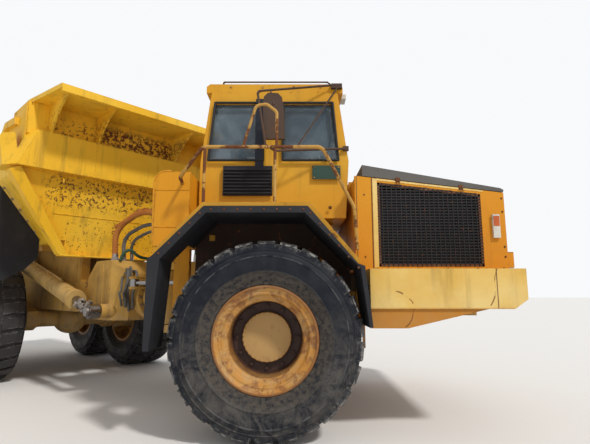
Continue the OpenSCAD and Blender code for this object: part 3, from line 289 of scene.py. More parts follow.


# %% [markdown]
# ## Weathered paint
# The whole machine is sprayed in one family of yellows: the sun bleached the bumper over the
# years, the frames are a darker yellow, and rust comes through where stones hit the
# body. So one recipe paints everything and takes its amounts as settings: fading in large
# clouds, rain streaks that run down, and dust low on the machine, and over them rust. Rust
# lies in patches and specks, along worn edges, which a Bevel node finds by comparing normals,
# in fields of chips where stones land, and in a few long scratches.

# %% Colour of old paint
RUST_DARK = (0.055, 0.020, 0.011, 1)
RUST_LIGHT = (0.24, 0.085, 0.030, 1)
DUST = (0.36, 0.29, 0.20, 1)
GRIME = (0.045, 0.034, 0.026, 1)
DUST_FULL = 0.5


def aged_colour_and_shade(material, colour, faded, cloud, height, settings):
    """Paint that has faded in clouds, under grime, rain streaks and dust, with painted shade below
    a height where the settings give one.
    """
    fading = step(material, noise(material, 0.9, 5), 0.38, 0.68, settings["fade"])
    base = blend_colour(material, fading, (*colour, 1), (*faded, 1))
    base = blend_colour(material, step(material, cloud, 0.5, 0.75, settings["grime"]), base, GRIME)
    run = noise(material, 9, 5, 0.6, stretch=(1, 1, 0.09))
    base = blend_colour(material, step(material, run, 0.52, 0.74, settings["streaks"]), base, GRIME)
    # Painted shade: below the given height the paint turns to a darker colour, as under the
    # bumper's rubbing edge.
    if settings["deep"]:
        shade_colour, below = settings["deep"]
        shaded = step(material, height, below + 0.01, below - 0.02)
        base = blend_colour(material, shaded, base, (*shade_colour, 1))
    low = step(material, height, settings["dust_top"], DUST_FULL, settings["dust"])
    speckled = step(material, noise(material, 6, 6, 0.7), 0.3, 0.6)
    return blend_colour(material, times(material, low, speckled), base, DUST)


# %% Masks of rust
EDGE_WIDTH = 0.012


def edge_mask(material, radius, spread):
    """Finds outer and inner edges: where the rounded normal leaves the true one."""
    rounded = add(material, "Bevel", {"samples": 4}, Radius=radius).outputs["Normal"]
    true = add(material, "NewGeometry").outputs["Normal"]
    same = add(material, "VectorMath", {"operation": "DOT_PRODUCT"}, _0=rounded, _1=true)
    return step(material, same.outputs["Value"], 1.0, 1.0 - spread)


def patches_and_specks(material, rust, specks):
    """Large ragged patches, and small specks that keep to some zones."""
    patch = noise(material, 4.5, 9, 0.72, warp=0.6)
    patches = step(material, patch, 0.72 - 0.16 * rust, 0.76 - 0.16 * rust)
    speck = noise(material, 55, 3, 0.6)
    spot = step(material, speck, 0.76 - 0.08 * specks, 0.78 - 0.08 * specks)
    zone = step(material, noise(material, 3.1, 4), 0.45, 0.6)
    return most(material, patches, times(material, spot, zone))


def stone_chips(material, height, chips, rusty):
    """Adds fields of chips. Each is a band of height, a band across the unit and an amount."""
    across = add(material, "VectorMath", {"operation": "DOT_PRODUCT"}, _0=place(material),
                 _1=rear_left).outputs["Value"]
    middle = steer_pin.dot(rear_left)
    small = noise(material, 22, 6, 0.74, warp=0.3)
    for low, high, right, left, amount in chips:
        chip = step(material, small, 0.60 - 0.10 * amount, 0.63 - 0.10 * amount)
        hit = times(material, band(material, height, low, high, 0.06),
                    band(material, across, middle + right, middle + left, 0.12))
        rusty = most(material, rusty, times(material, chip, hit))
    return rusty


def long_scratches(material, amount):
    """Thin curved lines: where a slow noise crosses its middle, broken up by a quicker one."""
    line = band(material, noise(material, 1.5, 1.5, 0.4), 0.497, 0.503, 0.0015, amount)
    broken = step(material, noise(material, 7, 4), 0.46, 0.52)
    return times(material, line, broken)


def worn_edges(material, amount):
    """Bare and rusted edges, ragged as a chipped coat is."""
    ragged = step(material, noise(material, 24, 6, 0.7), 0.62 - 0.2 * amount, 0.70)
    return times(material, edge_mask(material, EDGE_WIDTH, 0.06), ragged)


# %% Weathered paint
PAINT_SHINE = 0.3
RUST_ROUGH = 0.9
USUAL_WEAR_AND_SHADE = {"fade": 0.5, "streaks": 0.35, "dust": 0.3, "grime": 0.25, "dust_top": 1.6,
              "deep": None}


def paint(name, colour, faded, rust=0.2, specks=0.3, edges=0.5, rough=0.45, chips=(),
          scratches=0.0, **wear_and_shade):
    """One finish from its two colours and its amounts of rust. wear may change
    USUAL_WEAR_AND_SHADE, in which deep is the colour of a painted shade and the height under which
    it is painted."""
    material, surface = new_material(name)
    cloud = noise(material, 2.3, 6, 0.6)
    height = height_of(material)
    base = aged_colour_and_shade(material, colour, faded, cloud, height, {**USUAL_WEAR_AND_SHADE, **wear_and_shade})
    rusty = patches_and_specks(material, rust, specks)
    if chips:
        rusty = stone_chips(material, height, chips, rusty)
    if scratches:
        rusty = most(material, rusty, long_scratches(material, scratches))
    if edges:
        rusty = most(material, rusty, worn_edges(material, edges))
    rust_tone = blend_colour(material, noise(material, 40, 6, 0.7), RUST_DARK, RUST_LIGHT)
    connect(material, blend_colour(material, rusty, base, rust_tone), surface.inputs["Base Color"])
    matt = blend_value(material, step(material, cloud, 0.3, 0.7), rough, rough + 0.2)
    connect(material, blend_value(material, rusty, matt, RUST_ROUGH), surface.inputs["Roughness"])
    wavy = add(material, "Math", {"operation": "MULTIPLY_ADD"}, _0=rusty, _1=-0.35,
               _2=noise(material, 1.6, 3)).outputs[0]
    bump(material, surface, wavy, 0.35, 0.012)
    surface.inputs["Specular IOR Level"].default_value = PAINT_SHINE
    return material


# %% [markdown]
# ## The paints of this machine
# Each panel family has its own two colours, fresh and faded, and its own amounts. The body's
# front wall has four fields of chips, densest behind the spill guard's beam, where stones fall
# from the loading shovel. The bumper is a darker orange under its rubbing edge, as painted shade.

# %% Paints of the tractor
cab_paint = paint("cab_paint", (0.66, 0.31, 0.012), (0.74, 0.42, 0.04), rust=0.25,
                  specks=0.75, edges=0.85, streaks=0.2, grime=0.12, rough=0.38)
hood_paint = paint("hood_paint", (0.66, 0.25, 0.006), (0.72, 0.35, 0.02), rust=0.12,
                   specks=0.55, edges=0.7, streaks=0.15, grime=0.10, rough=0.36)
tank_paint = paint("tank_paint", (0.66, 0.28, 0.008), (0.74, 0.40, 0.03), rust=0.5,
                   specks=0.9, edges=0.9, streaks=0.3, grime=0.15, rough=0.42)
fender_paint = paint("fender_paint", (0.58, 0.28, 0.018), (0.62, 0.36, 0.06), rust=0.55,
                     specks=0.8, edges=0.9, streaks=0.3, grime=0.3, rough=0.5)
# The bumper's darker orange below 1.165 m is painted shade under its rubbing edge.
bumper_paint = paint("bumper_paint", (0.72, 0.44, 0.09), (0.84, 0.64, 0.25), fade=0.95,
                     rust=0.12, specks=0.6, edges=0.75, streaks=0.25, grime=0.12, rough=0.6,
                     deep=((0.50, 0.20, 0.015), 1.165), scratches=0.8)
rail_paint = paint("rail_paint", (0.50, 0.27, 0.05), (0.52, 0.33, 0.12), rust=1.5,
                   specks=1.2, edges=0.0, streaks=0.4, grime=0.35, rough=0.6)
black_paint = paint("black_paint", (0.010, 0.009, 0.010), (0.028, 0.027, 0.027), rust=0.2,
                    specks=0.4, edges=0.4, streaks=0.1, grime=0.1, dust=0.2, rough=0.5)
mirror_paint = paint("mirror_paint", (0.060, 0.034, 0.022), (0.105, 0.062, 0.040), rust=0.9,
                     specks=0.9, edges=0.6, streaks=0.3, grime=0.3, rough=0.6)
lid_paint = paint("lid_paint", (0.10, 0.094, 0.088), (0.17, 0.16, 0.15), rust=0.25,
                  specks=0.6, edges=0.7, streaks=0.2, grime=0.3, rough=0.7)
engine_paint = paint("engine_paint", (0.10, 0.10, 0.10), (0.16, 0.14, 0.12), rust=0.8,
                     specks=0.9, edges=0.5, streaks=0.4, grime=0.7, rough=0.6)
exhaust_rust = paint("exhaust_rust", (0.16, 0.075, 0.04), (0.25, 0.13, 0.07), rust=1.6,
                     specks=1.2, edges=0.0, streaks=0.5, grime=0.4, rough=0.8)
step_paint = paint("step_paint", (0.62, 0.23, 0.02), (0.66, 0.34, 0.08), rust=0.7,
                   specks=0.9, edges=0.9, streaks=0.3, grime=0.3, rough=0.55)
arch_paint = paint("arch_paint", (0.040, 0.022, 0.016), (0.075, 0.045, 0.030), rust=0.8,
                   specks=0.8, edges=0.0, streaks=0.5, grime=0.5, rough=0.8)
navy_paint = paint("navy_paint", (0.008, 0.010, 0.020), (0.02, 0.024, 0.036), rust=0.0,
                   specks=0.1, edges=0.3, streaks=0.2, grime=0.1, rough=0.5)

# %% Paints of the rear unit
wall_chips = ((3.36, 3.64, -0.60, 0.62, 1.25), (3.36, 3.60, -1.20, -0.60, 0.55),
              (2.44, 2.84, -1.15, 0.95, 0.70), (1.85, 2.3, -0.9, 0.9, 0.2))
body_paint = paint("body_paint", (0.84, 0.47, 0.018), (0.90, 0.60, 0.06), rust=0.45,
                   specks=0.9, edges=0.9, streaks=0.35, grime=0.2, rough=0.5, chips=wall_chips)
frame_paint = paint("frame_paint", (0.48, 0.26, 0.04), (0.54, 0.34, 0.10), rust=0.6,
                    specks=0.9, edges=0.9, streaks=0.6, grime=0.5, dust=0.6, rough=0.6)
hoist_paint = paint("hoist_paint", (0.50, 0.31, 0.09), (0.58, 0.40, 0.16), rust=0.4,
                    specks=0.9, edges=0.6, streaks=0.5, grime=0.5, dust=0.6, rough=0.55)
print("paints", sum(material.name.endswith("paint") for material in bpy.data.materials))

# %% [markdown]
# ## Glass, rubber, metal and trim
# The panes are thin and tinted blue-grey by their film of dust. Rubber is nearly black but
# chalky where it is dry, and old hose is paler than a seal. Bright metal shows only on the
# rods that slide, and even there it is stained.

# %% Recipes for glass, rubber, metal and trim
def window_material():
    material, surface = new_material("window_glass")
    film = step(material, noise(material, 3.0, 5, 0.6), 0.35, 0.75)
    clear, dusty = (0.075, 0.125, 0.165, 1), (0.16, 0.22, 0.26, 1)
    connect(material, blend_colour(material, film, clear, dusty), surface.inputs["Base Color"])
    connect(material, blend_value(material, film, 0.50, 0.66), surface.inputs["Alpha"])
    surface.inputs["Roughness"].default_value = 0.08
    surface.inputs["IOR"].default_value = 1.45
    return material


def rubber_material(name, colour, dusty, rough=0.75, cover=0.5):
    """cover is how much of the rubber has gone pale and dusty."""
    material, surface = new_material(name)
    cloud = step(material, noise(material, 3.5, 6, 0.65), 0.42, 0.72, cover)
    scuff = step(material, noise(material, 14, 6, 0.7, stretch=(1, 1, 0.3)), 0.55, 0.75, cover)
    connect(material, blend_colour(material, most(material, cloud, scuff), (*colour, 1),
                                   (*dusty, 1)), surface.inputs["Base Color"])
    surface.inputs["Roughness"].default_value = rough
    bump(material, surface, noise(material, 60, 4, 0.6), 0.25, 0.004)
    return material


def metal_material(name, colour, rough, stain=0.3):
    """stain is how far rust covers the metal in clouds."""
    material, surface = new_material(name)
    surface.inputs["Metallic"].default_value = 1.0
    dull = step(material, noise(material, 7, 6, 0.7), 0.5, 0.75, stain)
    connect(material, blend_colour(material, dull, (*colour, 1), RUST_LIGHT),
            surface.inputs["Base Color"])
    connect(material, blend_value(material, dull, rough, rough + 0.4),
            surface.inputs["Roughness"])
    return material


def plain_material(name, colour, rough, grain=0.0, grain_scale=300):
    """A moulded or woven surface, a little darker in clouds."""
    material, surface = new_material(name)
    tone = noise(material, 5, 5, 0.6)
    darker = (*[c * 0.7 for c in colour], 1)
    connect(material, blend_colour(material, step(material, tone, 0.35, 0.7), darker,
                                   (*colour, 1)), surface.inputs["Base Color"])
    surface.inputs["Roughness"].default_value = rough
    if grain:
        bump(material, surface, noise(material, grain_scale, 3), grain, 0.002)
    return material


# %% Glass, rubber, metal and trim
window_glass = window_material()
flap_rubber = rubber_material("flap_rubber", (0.006, 0.007, 0.011), (0.030, 0.029, 0.032),
                              cover=0.45)
seal_rubber = rubber_material("seal_rubber", (0.008, 0.008, 0.009), (0.03, 0.03, 0.03),
                              cover=0.3)
old_rubber = rubber_material("old_rubber", (0.20, 0.17, 0.145), (0.40, 0.36, 0.32), cover=0.9)
hose_orange = rubber_material("hose_orange", (0.40, 0.13, 0.015), (0.50, 0.24, 0.05), cover=0.6)
hose_grey = rubber_material("hose_grey", (0.09, 0.085, 0.08), (0.20, 0.19, 0.17), cover=0.8)
hose_black = rubber_material("hose_black", (0.014, 0.014, 0.015), (0.06, 0.055, 0.05), cover=0.6)
hose_green = rubber_material("hose_green", (0.012, 0.060, 0.030), (0.05, 0.10, 0.06), cover=0.5)
rod_chrome = metal_material("rod_chrome", (0.27, 0.26, 0.25), 0.26, 0.35)
bare_steel = metal_material("bare_steel", (0.34, 0.32, 0.30), 0.45, 0.6)
lamp_lens = plain_material("lamp_lens", (0.75, 0.72, 0.64), 0.15)
tail_lens = plain_material("tail_lens", (0.35, 0.015, 0.012), 0.2)
lens_orange = plain_material("lens_orange", (0.62, 0.12, 0.02), 0.2)
plate_green = plain_material("plate_green", (0.010, 0.052, 0.032), 0.5)
trim_plastic = plain_material("trim_plastic", (0.02, 0.02, 0.022), 0.6, 0.3)
seat_cloth = plain_material("seat_cloth", (0.035, 0.037, 0.045), 0.9, 0.5, 600)
print("materials so far", len(bpy.data.materials))

# %% [markdown]
# ## Painting the solids
# Solids whose shape is already right only need the right finish. Later cells replace some of
# them with finer pieces, and those solids are then hidden.

# %% Painting the solids
solids_of = {
    frame_paint: ["front_frame", "front_axle", "rear_frame", "bogie_axles", "bogie_beams",
                  "hitch_block", "body_sills"],
    engine_paint: ["engine_block"],
    hood_paint: ["hood_panels"],
    tank_paint: ["tanks"],
    fender_paint: ["fenders"],
    black_paint: ["grilles"],
    mirror_paint: ["mirrors"],
    bumper_paint: ["bumper"],
    lamp_lens: ["lamps"],
    tail_lens: ["tail_lamps"],
    flap_rubber: ["mudguards", "body_flaps"],
    rail_paint: ["handrails"],
    step_paint: ["cab_steps"],
    cab_paint: ["cab_shell", "cab_roof", "cab_door"],
    window_glass: ["cab_glass", "door_glass"],
    seat_cloth: ["seat"],
    trim_plastic: ["dash"],
    lid_paint: ["hood_lid"],
    hoist_paint: ["steer_barrel_right", "steer_barrel_left", "hoist_barrels"],
    rod_chrome: ["steer_rod_right", "steer_rod_left", "hoist_rods"],
    body_paint: ["body_tub", "spill_guard"],
}
for coat, names in solids_of.items():
    for name in names:
        cad[name].data.materials.clear()
        cad[name].data.materials.append(coat)
print("solids painted", sum(len(names) for names in solids_of.values()))

# %% [markdown]
# ## Building blocks for pieces
# Sheet-metal machines are made from few kinds of shape: bevelled blocks, round bars, bolts,
# bent tubes, plates cut to an outline and turned rings. Each block below adds one of them to
# a bmesh, in the directions of the tractor or of the rear unit.

# %% Blocks, bars and bolts
def block(bm, corner_a, corner_b, bevel=0.0):
    """A box between two opposite corners, given in any order."""
    low = Vector([min(pair) for pair in zip(corner_a, corner_b)])
    high = Vector([max(pair) for pair in zip(corner_a, corner_b)])
    made = bmesh.ops.create_cube(bm, size=1.0)["verts"]
    bmesh.ops.scale(bm, verts=made, vec=high - low)
    bmesh.ops.translate(bm, verts=made, vec=(low + high) / 2)
    if bevel:
        edges = {edge for vert in made for edge in vert.link_edges}
        made = bmesh.ops.bevel(bm, geom=list(edges), offset=bevel, offset_type="OFFSET",
                               segments=1, profile=0.5, affect="EDGES", material=-1)["verts"]
    return made


def turned_to(direction):
    """The rotation that takes +Z to a direction."""
    return Vector(direction).to_track_quat("Z", "Y").to_matrix().to_4x4()


def rod(bm, start, end, radius, sides=12, end_radius=None):
    """A round bar, or a cone where the end has its own radius."""
    start, end = Vector(start), Vector(end)
    where = Matrix.Translation((start + end) / 2) @ turned_to(end - start)
    return bmesh.ops.create_cone(bm, cap_ends=True, segments=sides, radius1=radius,
                                 radius2=radius if end_radius is None else end_radius,
                                 depth=(end - start).length, matrix=where)["verts"]


def bolt_head(bm, at, direction, radius=0.012, height=0.009):
    """A six-sided head with a chamfered crown, standing on a washer."""
    at, direction = Vector(at), Vector(direction).normalized()
    rod(bm, at, at + direction * height * 0.3, radius * 1.5, 12)
    rod(bm, at + direction * height * 0.2, at + direction * height, radius, 6, radius * 0.86)


def side_bolts(bm, y, spots, radius):
    """Bolts on the two sides of a unit, each at a pair of its x and z."""
    for side in (-1, 1):
        for x, z in spots:
            bolt_head(bm, (x, y * side, z), (0, side, 0), radius)


def around(count):
    """Even turns of a circle, in radians."""
    return [2 * math.pi * i / count for i in range(count)]


# %% Bent tubes
def rounded_path(points, bend, turns):
    """The points of a path, with each corner rounded in a few short steps."""
    points = [Vector(p) for p in points]
    path = [points[0]]
    for before, corner, after in zip(points, points[1:], points[2:]):
        back = min(bend, (before - corner).length / 2, (after - corner).length / 2)
        a = corner + (before - corner).normalized() * back
        b = corner + (after - corner).normalized() * back
        path += [a.lerp(corner, t).lerp(corner.lerp(b, t), t)
                 for t in (i / turns for i in range(turns + 1))]
    path.append(points[-1])
    return path


def tube(bm, points, radius, sides=10, bend=0.06, turns=5):
    """A bent tube: a ring of vertices is extruded along a path with rounded corners."""
    path = rounded_path(points, bend, turns)
    ring = turned_to(path[1] - path[0])
    frames = []
    for i, point in enumerate(path):
        ahead = (path[min(i + 1, len(path) - 1)] - path[max(i - 1, 0)]).normalized()
        swing = (ring.to_3x3() @ Vector((0, 0, 1))).rotation_difference(ahead)
        ring = swing.to_matrix().to_4x4() @ ring
        frames.append(Matrix.Translation(point) @ ring)
    verts = bmesh.ops.create_circle(bm, segments=sides, radius=radius, matrix=frames[0])["verts"]
    edges = list({edge for vert in verts for edge in vert.link_edges})
    first = edges
    for before, after in zip(frames, frames[1:]):
        grown = bmesh.ops.extrude_edge_only(bm, edges=edges)["geom"]
        verts = [v for v in grown if isinstance(v, bmesh.types.BMVert)]
        bmesh.ops.transform(bm, matrix=after @ before.inverted(), verts=verts)
        edges = [e for e in grown if isinstance(e, bmesh.types.BMEdge)
                 and e.verts[0] in verts and e.verts[1] in verts]
    for rim in (first, edges):
        bmesh.ops.contextual_create(bm, geom=rim)


# %% Plates and turned rings
def plate(bm, outline, axis, low, high):
    """A flat outline in two directions, extruded along the third from low to high."""
    order = {"x": (1, 2, 0), "y": (0, 2, 1), "z": (0, 1, 2)}[axis]

    def spot(pair, depth):
        corner = [0, 0, 0]
        corner[order[0]], corner[order[1]], corner[order[2]] = *pair, depth
        return corner

    verts = [bm.verts.new(spot(pair, low)) for pair in outline]
    face = bmesh.ops.contextual_create(bm, geom=verts)["faces"][0]
    grown = bmesh.ops.extrude_face_region(bm, geom=[face])["geom"]
    shift = [0, 0, 0]
    shift[order[2]] = high - low
    top = [v for v in grown if isinstance(v, bmesh.types.BMVert)]
    bmesh.ops.translate(bm, verts=top, vec=shift)


def ring_of(bm, outline, steps=96):
    """Turns an outline of (radius, y) about the Y axis, as a lathe does."""
    verts = [bm.verts.new((radius, y, 0)) for radius, y in outline]
    edges = [bm.edges.new(pair) for pair in zip(verts, verts[1:])]
    bmesh.ops.spin(bm, geom=verts + edges, cent=(0, 0, 0), axis=(0, 1, 0), dvec=(0, 0, 0),
                   angle=2 * math.pi, steps=steps, use_merge=True, use_duplicate=False)


# %% [markdown]
# ## From a bmesh to a piece
# `finish` is the last step of every piece. It merges what doubles, turns the faces outwards,
# marks the edges that should stay crisp, and moves the mesh into place. The object itself
# stays at the origin. Then the piece gets a material and a body to ride on.

# %% Finishing a piece
CRISP = 40


def finish(name, bm, material, body, unit, stands_for=(), crisp=CRISP):
    """body is left out for a hose, which rides on no body. crisp is an angle in degrees."""
    bmesh.ops.remove_doubles(bm, verts=bm.verts, dist=1e-5)
    bmesh.ops.recalc_face_normals(bm, faces=bm.faces)
    bm.transform(unit)
    for face in bm.faces:
        face.smooth = True
    for edge in bm.edges:
        edge.smooth = len(edge.link_faces) == 2 and edge.calc_face_angle(0) < math.radians(crisp)
    mesh = bpy.data.meshes.new(name)
    bm.to_mesh(mesh)
    bm.free()
    mesh.materials.append(material)
    piece = bpy.data.objects.new(name, mesh)
    scene.collection.objects.link(piece)
    if body:
        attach(piece, body)
    if stands_for:
        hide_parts(*stands_for)
    return piece


print("tools ready:", ", ".join(tool.__name__ for tool in (block, rod, tube, plate, ring_of)))

# %% [markdown]
# ## Rubber and rim paint that know where the wheel is
# Dirt on a wheel lies in rings, so its pattern should follow the distance from the hub. A
# material can't look up the hub of its own wheel, but every vertex can carry its place in the
# wheel's own directions as an attribute. The same material then works on all six wheels.

# %% Where a point is on its wheel
def wheel_place(material):
    """Radius from the hub, depth from the outer face, and the place itself."""
    where = add(material, "Attribute", {"attribute_name": "wheel"}).outputs["Vector"]
    parts = add(material, "SeparateXYZ", Vector=where)
    flat = add(material, "CombineXYZ", X=parts.outputs["X"], Z=parts.outputs["Z"])
    radius = add(material, "VectorMath", {"operation": "LENGTH"},
                 _0=flat.outputs[0]).outputs["Value"]
    return radius, parts.outputs["Y"], where


# %% [markdown]
# ## Worn tyre rubber
# The rubber is nearly black, and its blue tint is a painted reflection of the sky. Mud dries on the
# sidewall and low on the tread, and a mould ring stands out paler. The blocks are grey on their
# corners and over the outer shoulder, partly scuffed where they meet the ground and partly a
# painted glint of the sun. Each of these is a ring of radius times a noise.

# %% Tyre rubber
WALL_IN, WALL_OUT = 0.46, 0.603
MOULD_IN, MOULD_OUT = 0.732, 0.744
TREAD_FROM, TREAD_FULL = 0.842, 0.862
TYRE_SHINE = 0.2


def tyre_mud(material, base, radius, where):
    """Splashes and smears of dried mud low on the machine."""
    low = height_of(material)
    splash = times(material, step(material, low, 1.1, 0.1, 0.8),
                   step(material, noise(material, 4, 6, 0.7), 0.42, 0.62))
    splashed = times(material, splash, band(material, radius, 0.58, 0.80, 0.03))
    base = blend_colour(material, splashed, base, (0.080, 0.074, 0.068, 1))
    low_side = times(material, step(material, low, 1.35, 0.55),
                     band(material, radius, 0.58, 0.82, 0.03))
    smears = step(material, noise(material, 6, 7, 0.75, where=where, warp=1.2), 0.40, 0.66, 0.85)
    return blend_colour(material, times(material, low_side, smears), base,
                        (0.095, 0.088, 0.080, 1))


def tyre_wear_and_glint(material, base, radius, depth, where):
    """Grey on the corners of the blocks and over the outer shoulder: scuffed rubber and a painted
    glint of the sun.
    """
    ragged = step(material, noise(material, 13, 6, 0.72, where=where), 0.47, 0.60, 0.85)
    corner = times(material, edge_mask(material, 0.03, 0.16), 0.5)
    tread = step(material, radius, TREAD_FROM, TREAD_FULL)
    shoulder = step(material, depth, -0.13, -0.085)
    base = blend_colour(material, times(material, tread, 0.55), base, (0.060, 0.055, 0.050, 1))
    # This pale grey is both scuffed rubber and a painted glint of the sun on the worn block edges.
    worn = times(material, most(material, corner, times(material, tread, shoulder)),
                 step(material, radius, 0.80, 0.82))
    return blend_colour(material, times(material, worn, ragged), base, (0.34, 0.33, 0.31, 1))


def tyre_material():
    material, surface = new_material("tyre_rubber")
    radius, depth, where = wheel_place(material)
    scuff = noise(material, 5, 7, 0.7, where=where)
    # The blue in these two near-black tones is a painted reflection of the sky.
    base = blend_colour(material, step(material, scuff, 0.35, 0.72), (0.004, 0.006, 0.012, 1),
                        (0.017, 0.019, 0.025, 1))
    ripple = noise(material, 26, 6, 0.7, where=where)
    wall_dust = times(material, band(material, radius, WALL_IN, WALL_OUT, 0.012),
                      step(material, ripple, 0.30, 0.62, 0.9))
    base = blend_colour(material, wall_dust, base, (0.085, 0.072, 0.058, 1))
    base = tyre_mud(material, base, radius, where)
    rings = times(material, band(material, radius, MOULD_IN, MOULD_OUT, 0.004),
                  step(material, noise(material, 9, 4, where=where), 0.4, 0.6, 0.75))
    base = blend_colour(material, rings, base, (0.10, 0.10, 0.105, 1))
    base = tyre_wear_and_glint(material, base, radius, depth, where)
    connect(material, base, surface.inputs["Base Color"])
    connect(material, blend_value(material, wall_dust, 0.55, 0.85), surface.inputs["Roughness"])
    surface.inputs["Specular IOR Level"].default_value = TYRE_SHINE
    bump(material, surface, noise(material, 90, 5, 0.7, where=where), 0.3, 0.004)
    return material


tyre_rubber = tyre_material()
print("tyre rubber has", len(tyre_rubber.node_tree.nodes), "nodes")

# %% [markdown]
# ## Rim paint
# A rim is orange where it was painted, rusty in clouds and round its edge, painted dark inside
# the step as the shade of its recess, and tan on the hub's plate.

# %% Rim paint
EDGE_IN, EDGE_OUT = 0.455, 0.50
STEP_IN, STEP_OUT = 0.232, 0.335
PLATE_OUT, PLATE_IN = 0.228, 0.220


def rim_material():
    material, surface = new_material("rim_paint")
    radius, _, where = wheel_place(material)
    cloud = noise(material, 5, 6, 0.65, where=where)
    base = blend_colour(material, step(material, cloud, 0.35, 0.7), (0.50, 0.22, 0.030, 1),
                        (0.44, 0.27, 0.10, 1))
    ring_rust = step(material, noise(material, 7, 8, 0.75, where=where, warp=0.4), 0.46, 0.60)
    edge = band(material, radius, EDGE_IN, EDGE_OUT, 0.008)
    rusty = most(material, times(material, edge, 0.75), times(material, ring_rust, 0.8))
    rust_tone = blend_colour(material, noise(material, 45, 6, 0.7, where=where), RUST_DARK,
                             (0.30, 0.10, 0.025, 1))
    base = blend_colour(material, rusty, base, rust_tone)
    streak = step(material, noise(material, 30, 5, 0.6, where=where), 0.55, 0.8, 0.6)
    base = blend_colour(material, streak, base, (0.42, 0.30, 0.15, 1))
    # Painted shade: the band inside the step is dark brown, as the rim's barrel shades the recess.
    recess_shade = blend_colour(material, noise(material, 18, 6, 0.7, where=where),
                          (0.022, 0.010, 0.008, 1), (0.085, 0.035, 0.020, 1))
    base = blend_colour(material, band(material, radius, STEP_IN, STEP_OUT, 0.006), base, recess_shade)
    worn = step(material, noise(material, 11, 7, 0.7, where=where), 0.55, 0.72)
    tan = blend_colour(material, worn, (0.46, 0.275, 0.095, 1), (0.36, 0.20, 0.07, 1))
    base = blend_colour(material, step(material, radius, PLATE_OUT, PLATE_IN), base, tan)
    connect(material, base, surface.inputs["Base Color"])
    surface.inputs["Roughness"].default_value = 0.62
    bump(material, surface, noise(material, 60, 6, 0.7, where=where), 0.25, 0.003)
    return material


rim_paint = rim_material()
print("rim paint has", len(rim_paint.node_tree.nodes), "nodes")

# %% [markdown]
# ## The tyre
# A wide earthmover tyre is a lathe part with blocks round its shoulders. The body is turned
# from one outline, from bead over sidewall and crown to the other bead, with the raised rings
# that a mould leaves. Each shoulder block is three boxes: one on the crown, one that carries
# it to the middle, and one that bends down over the shoulder. They are copied round in even
# steps, with the far row half a step behind.

# %% Shape of a tyre
tyre_low, tyre_high = span("front_tyre_right", tractor)
TYRE_R = (tyre_high.z - tyre_low.z) / 2
TYRE_W = tyre_high.y - tyre_low.y
rim_low, rim_high = span("front_rim_right", tractor)
RIM_R = (rim_high.z - rim_low.z) / 2
LUGS = 26
LUG_ROOT = TYRE_R - 0.034
LUG_HALF, LUG_HALF_IN = 0.079, 0.074
LUG_OUT, LUG_EDGE, LUG_IN, LUG_END = -0.034, -0.074, -0.150, -0.335
print("tyre", round(2 * TYRE_R, 3), "x", round(TYRE_W, 3), "rim", round(2 * RIM_R, 3))


def tyre_outline():
    """Half of the section, outer side, from the bead to the middle of the tread."""
    beads = [(-0.020, -0.112), (-0.004, -0.066), (0.012, -0.050), (0.026, -0.048),
             (0.040, -0.036), (0.075, -0.020), (0.112, -0.008), (0.119, -0.001),
             (0.128, -0.001), (0.134, -0.006), (0.190, -0.003), (0.252, -0.008),
             (0.257, -0.003), (0.266, -0.004), (0.270, -0.014), (0.306, -0.026),
             (0.312, -0.022), (0.320, -0.026), (0.326, -0.036), (0.352, -0.050),
             (0.374, -0.076)]
    crown = [(-0.030, -0.120), (-0.026, -0.200), (-0.024, -TYRE_W / 2)]
    return [(RIM_R + r, y) for r, y in beads] + [(TYRE_R + r, y) for r, y in crown]


def lug(bm, turn, far_side):
    """One shoulder block, turned to its place on the wheel."""
    crown = block(bm, (-LUG_HALF, LUG_IN, LUG_ROOT), (LUG_HALF, LUG_EDGE, TYRE_R - 0.002))
    middle = block(bm, (-LUG_HALF_IN, LUG_END, LUG_ROOT), (LUG_HALF_IN, LUG_IN, TYRE_R))
    slope = block(bm, (-LUG_HALF, LUG_EDGE, LUG_ROOT - 0.060),
                  (LUG_HALF, LUG_OUT, TYRE_R - 0.022))
    for vert in slope:
        if vert.co.y > LUG_EDGE + 0.01:
            vert.co.z -= 0.030
    for vert in crown:
        if vert.co.y > LUG_IN + 0.01 and vert.co.z > LUG_ROOT:
            vert.co.z -= 0.018
    for vert in middle:
        if vert.co.y < LUG_IN - 0.01:
            vert.co.x += 0.030
    verts = crown + middle + slope
    if far_side:
        bmesh.ops.scale(bm, verts=verts, vec=(1, -1, 1))
        bmesh.ops.translate(bm, verts=verts, vec=(0, -TYRE_W, 0))
    bmesh.ops.rotate(bm, verts=verts, cent=(0, 0, 0), matrix=Matrix.Rotation(turn, 3, "Y"))


def tyre_shape(bm):
    near = tyre_outline()
    far = [(radius, -TYRE_W - y) for radius, y in reversed(near[:-1])]
    ring_of(bm, near + far + [near[0]], 104)
    for turn in around(LUGS):
        lug(bm, turn, False)
        lug(bm, turn + math.pi / LUGS, True)


# %% [markdown]
# ## The rim
# The rim is turned too: a flange, a stepped ledge, a deep recess, and the hub's plate with a
# toothed edge where its nuts sit side by side. The outline starts and ends at the flange, and
# its second half is the back, which only the gap round the tyre lets one see.

# %% Shape of a rim
HUB_DEEP = 0.33
HUB_BACK = -0.428
BARREL = 0.427
BACK_LIP = 0.457


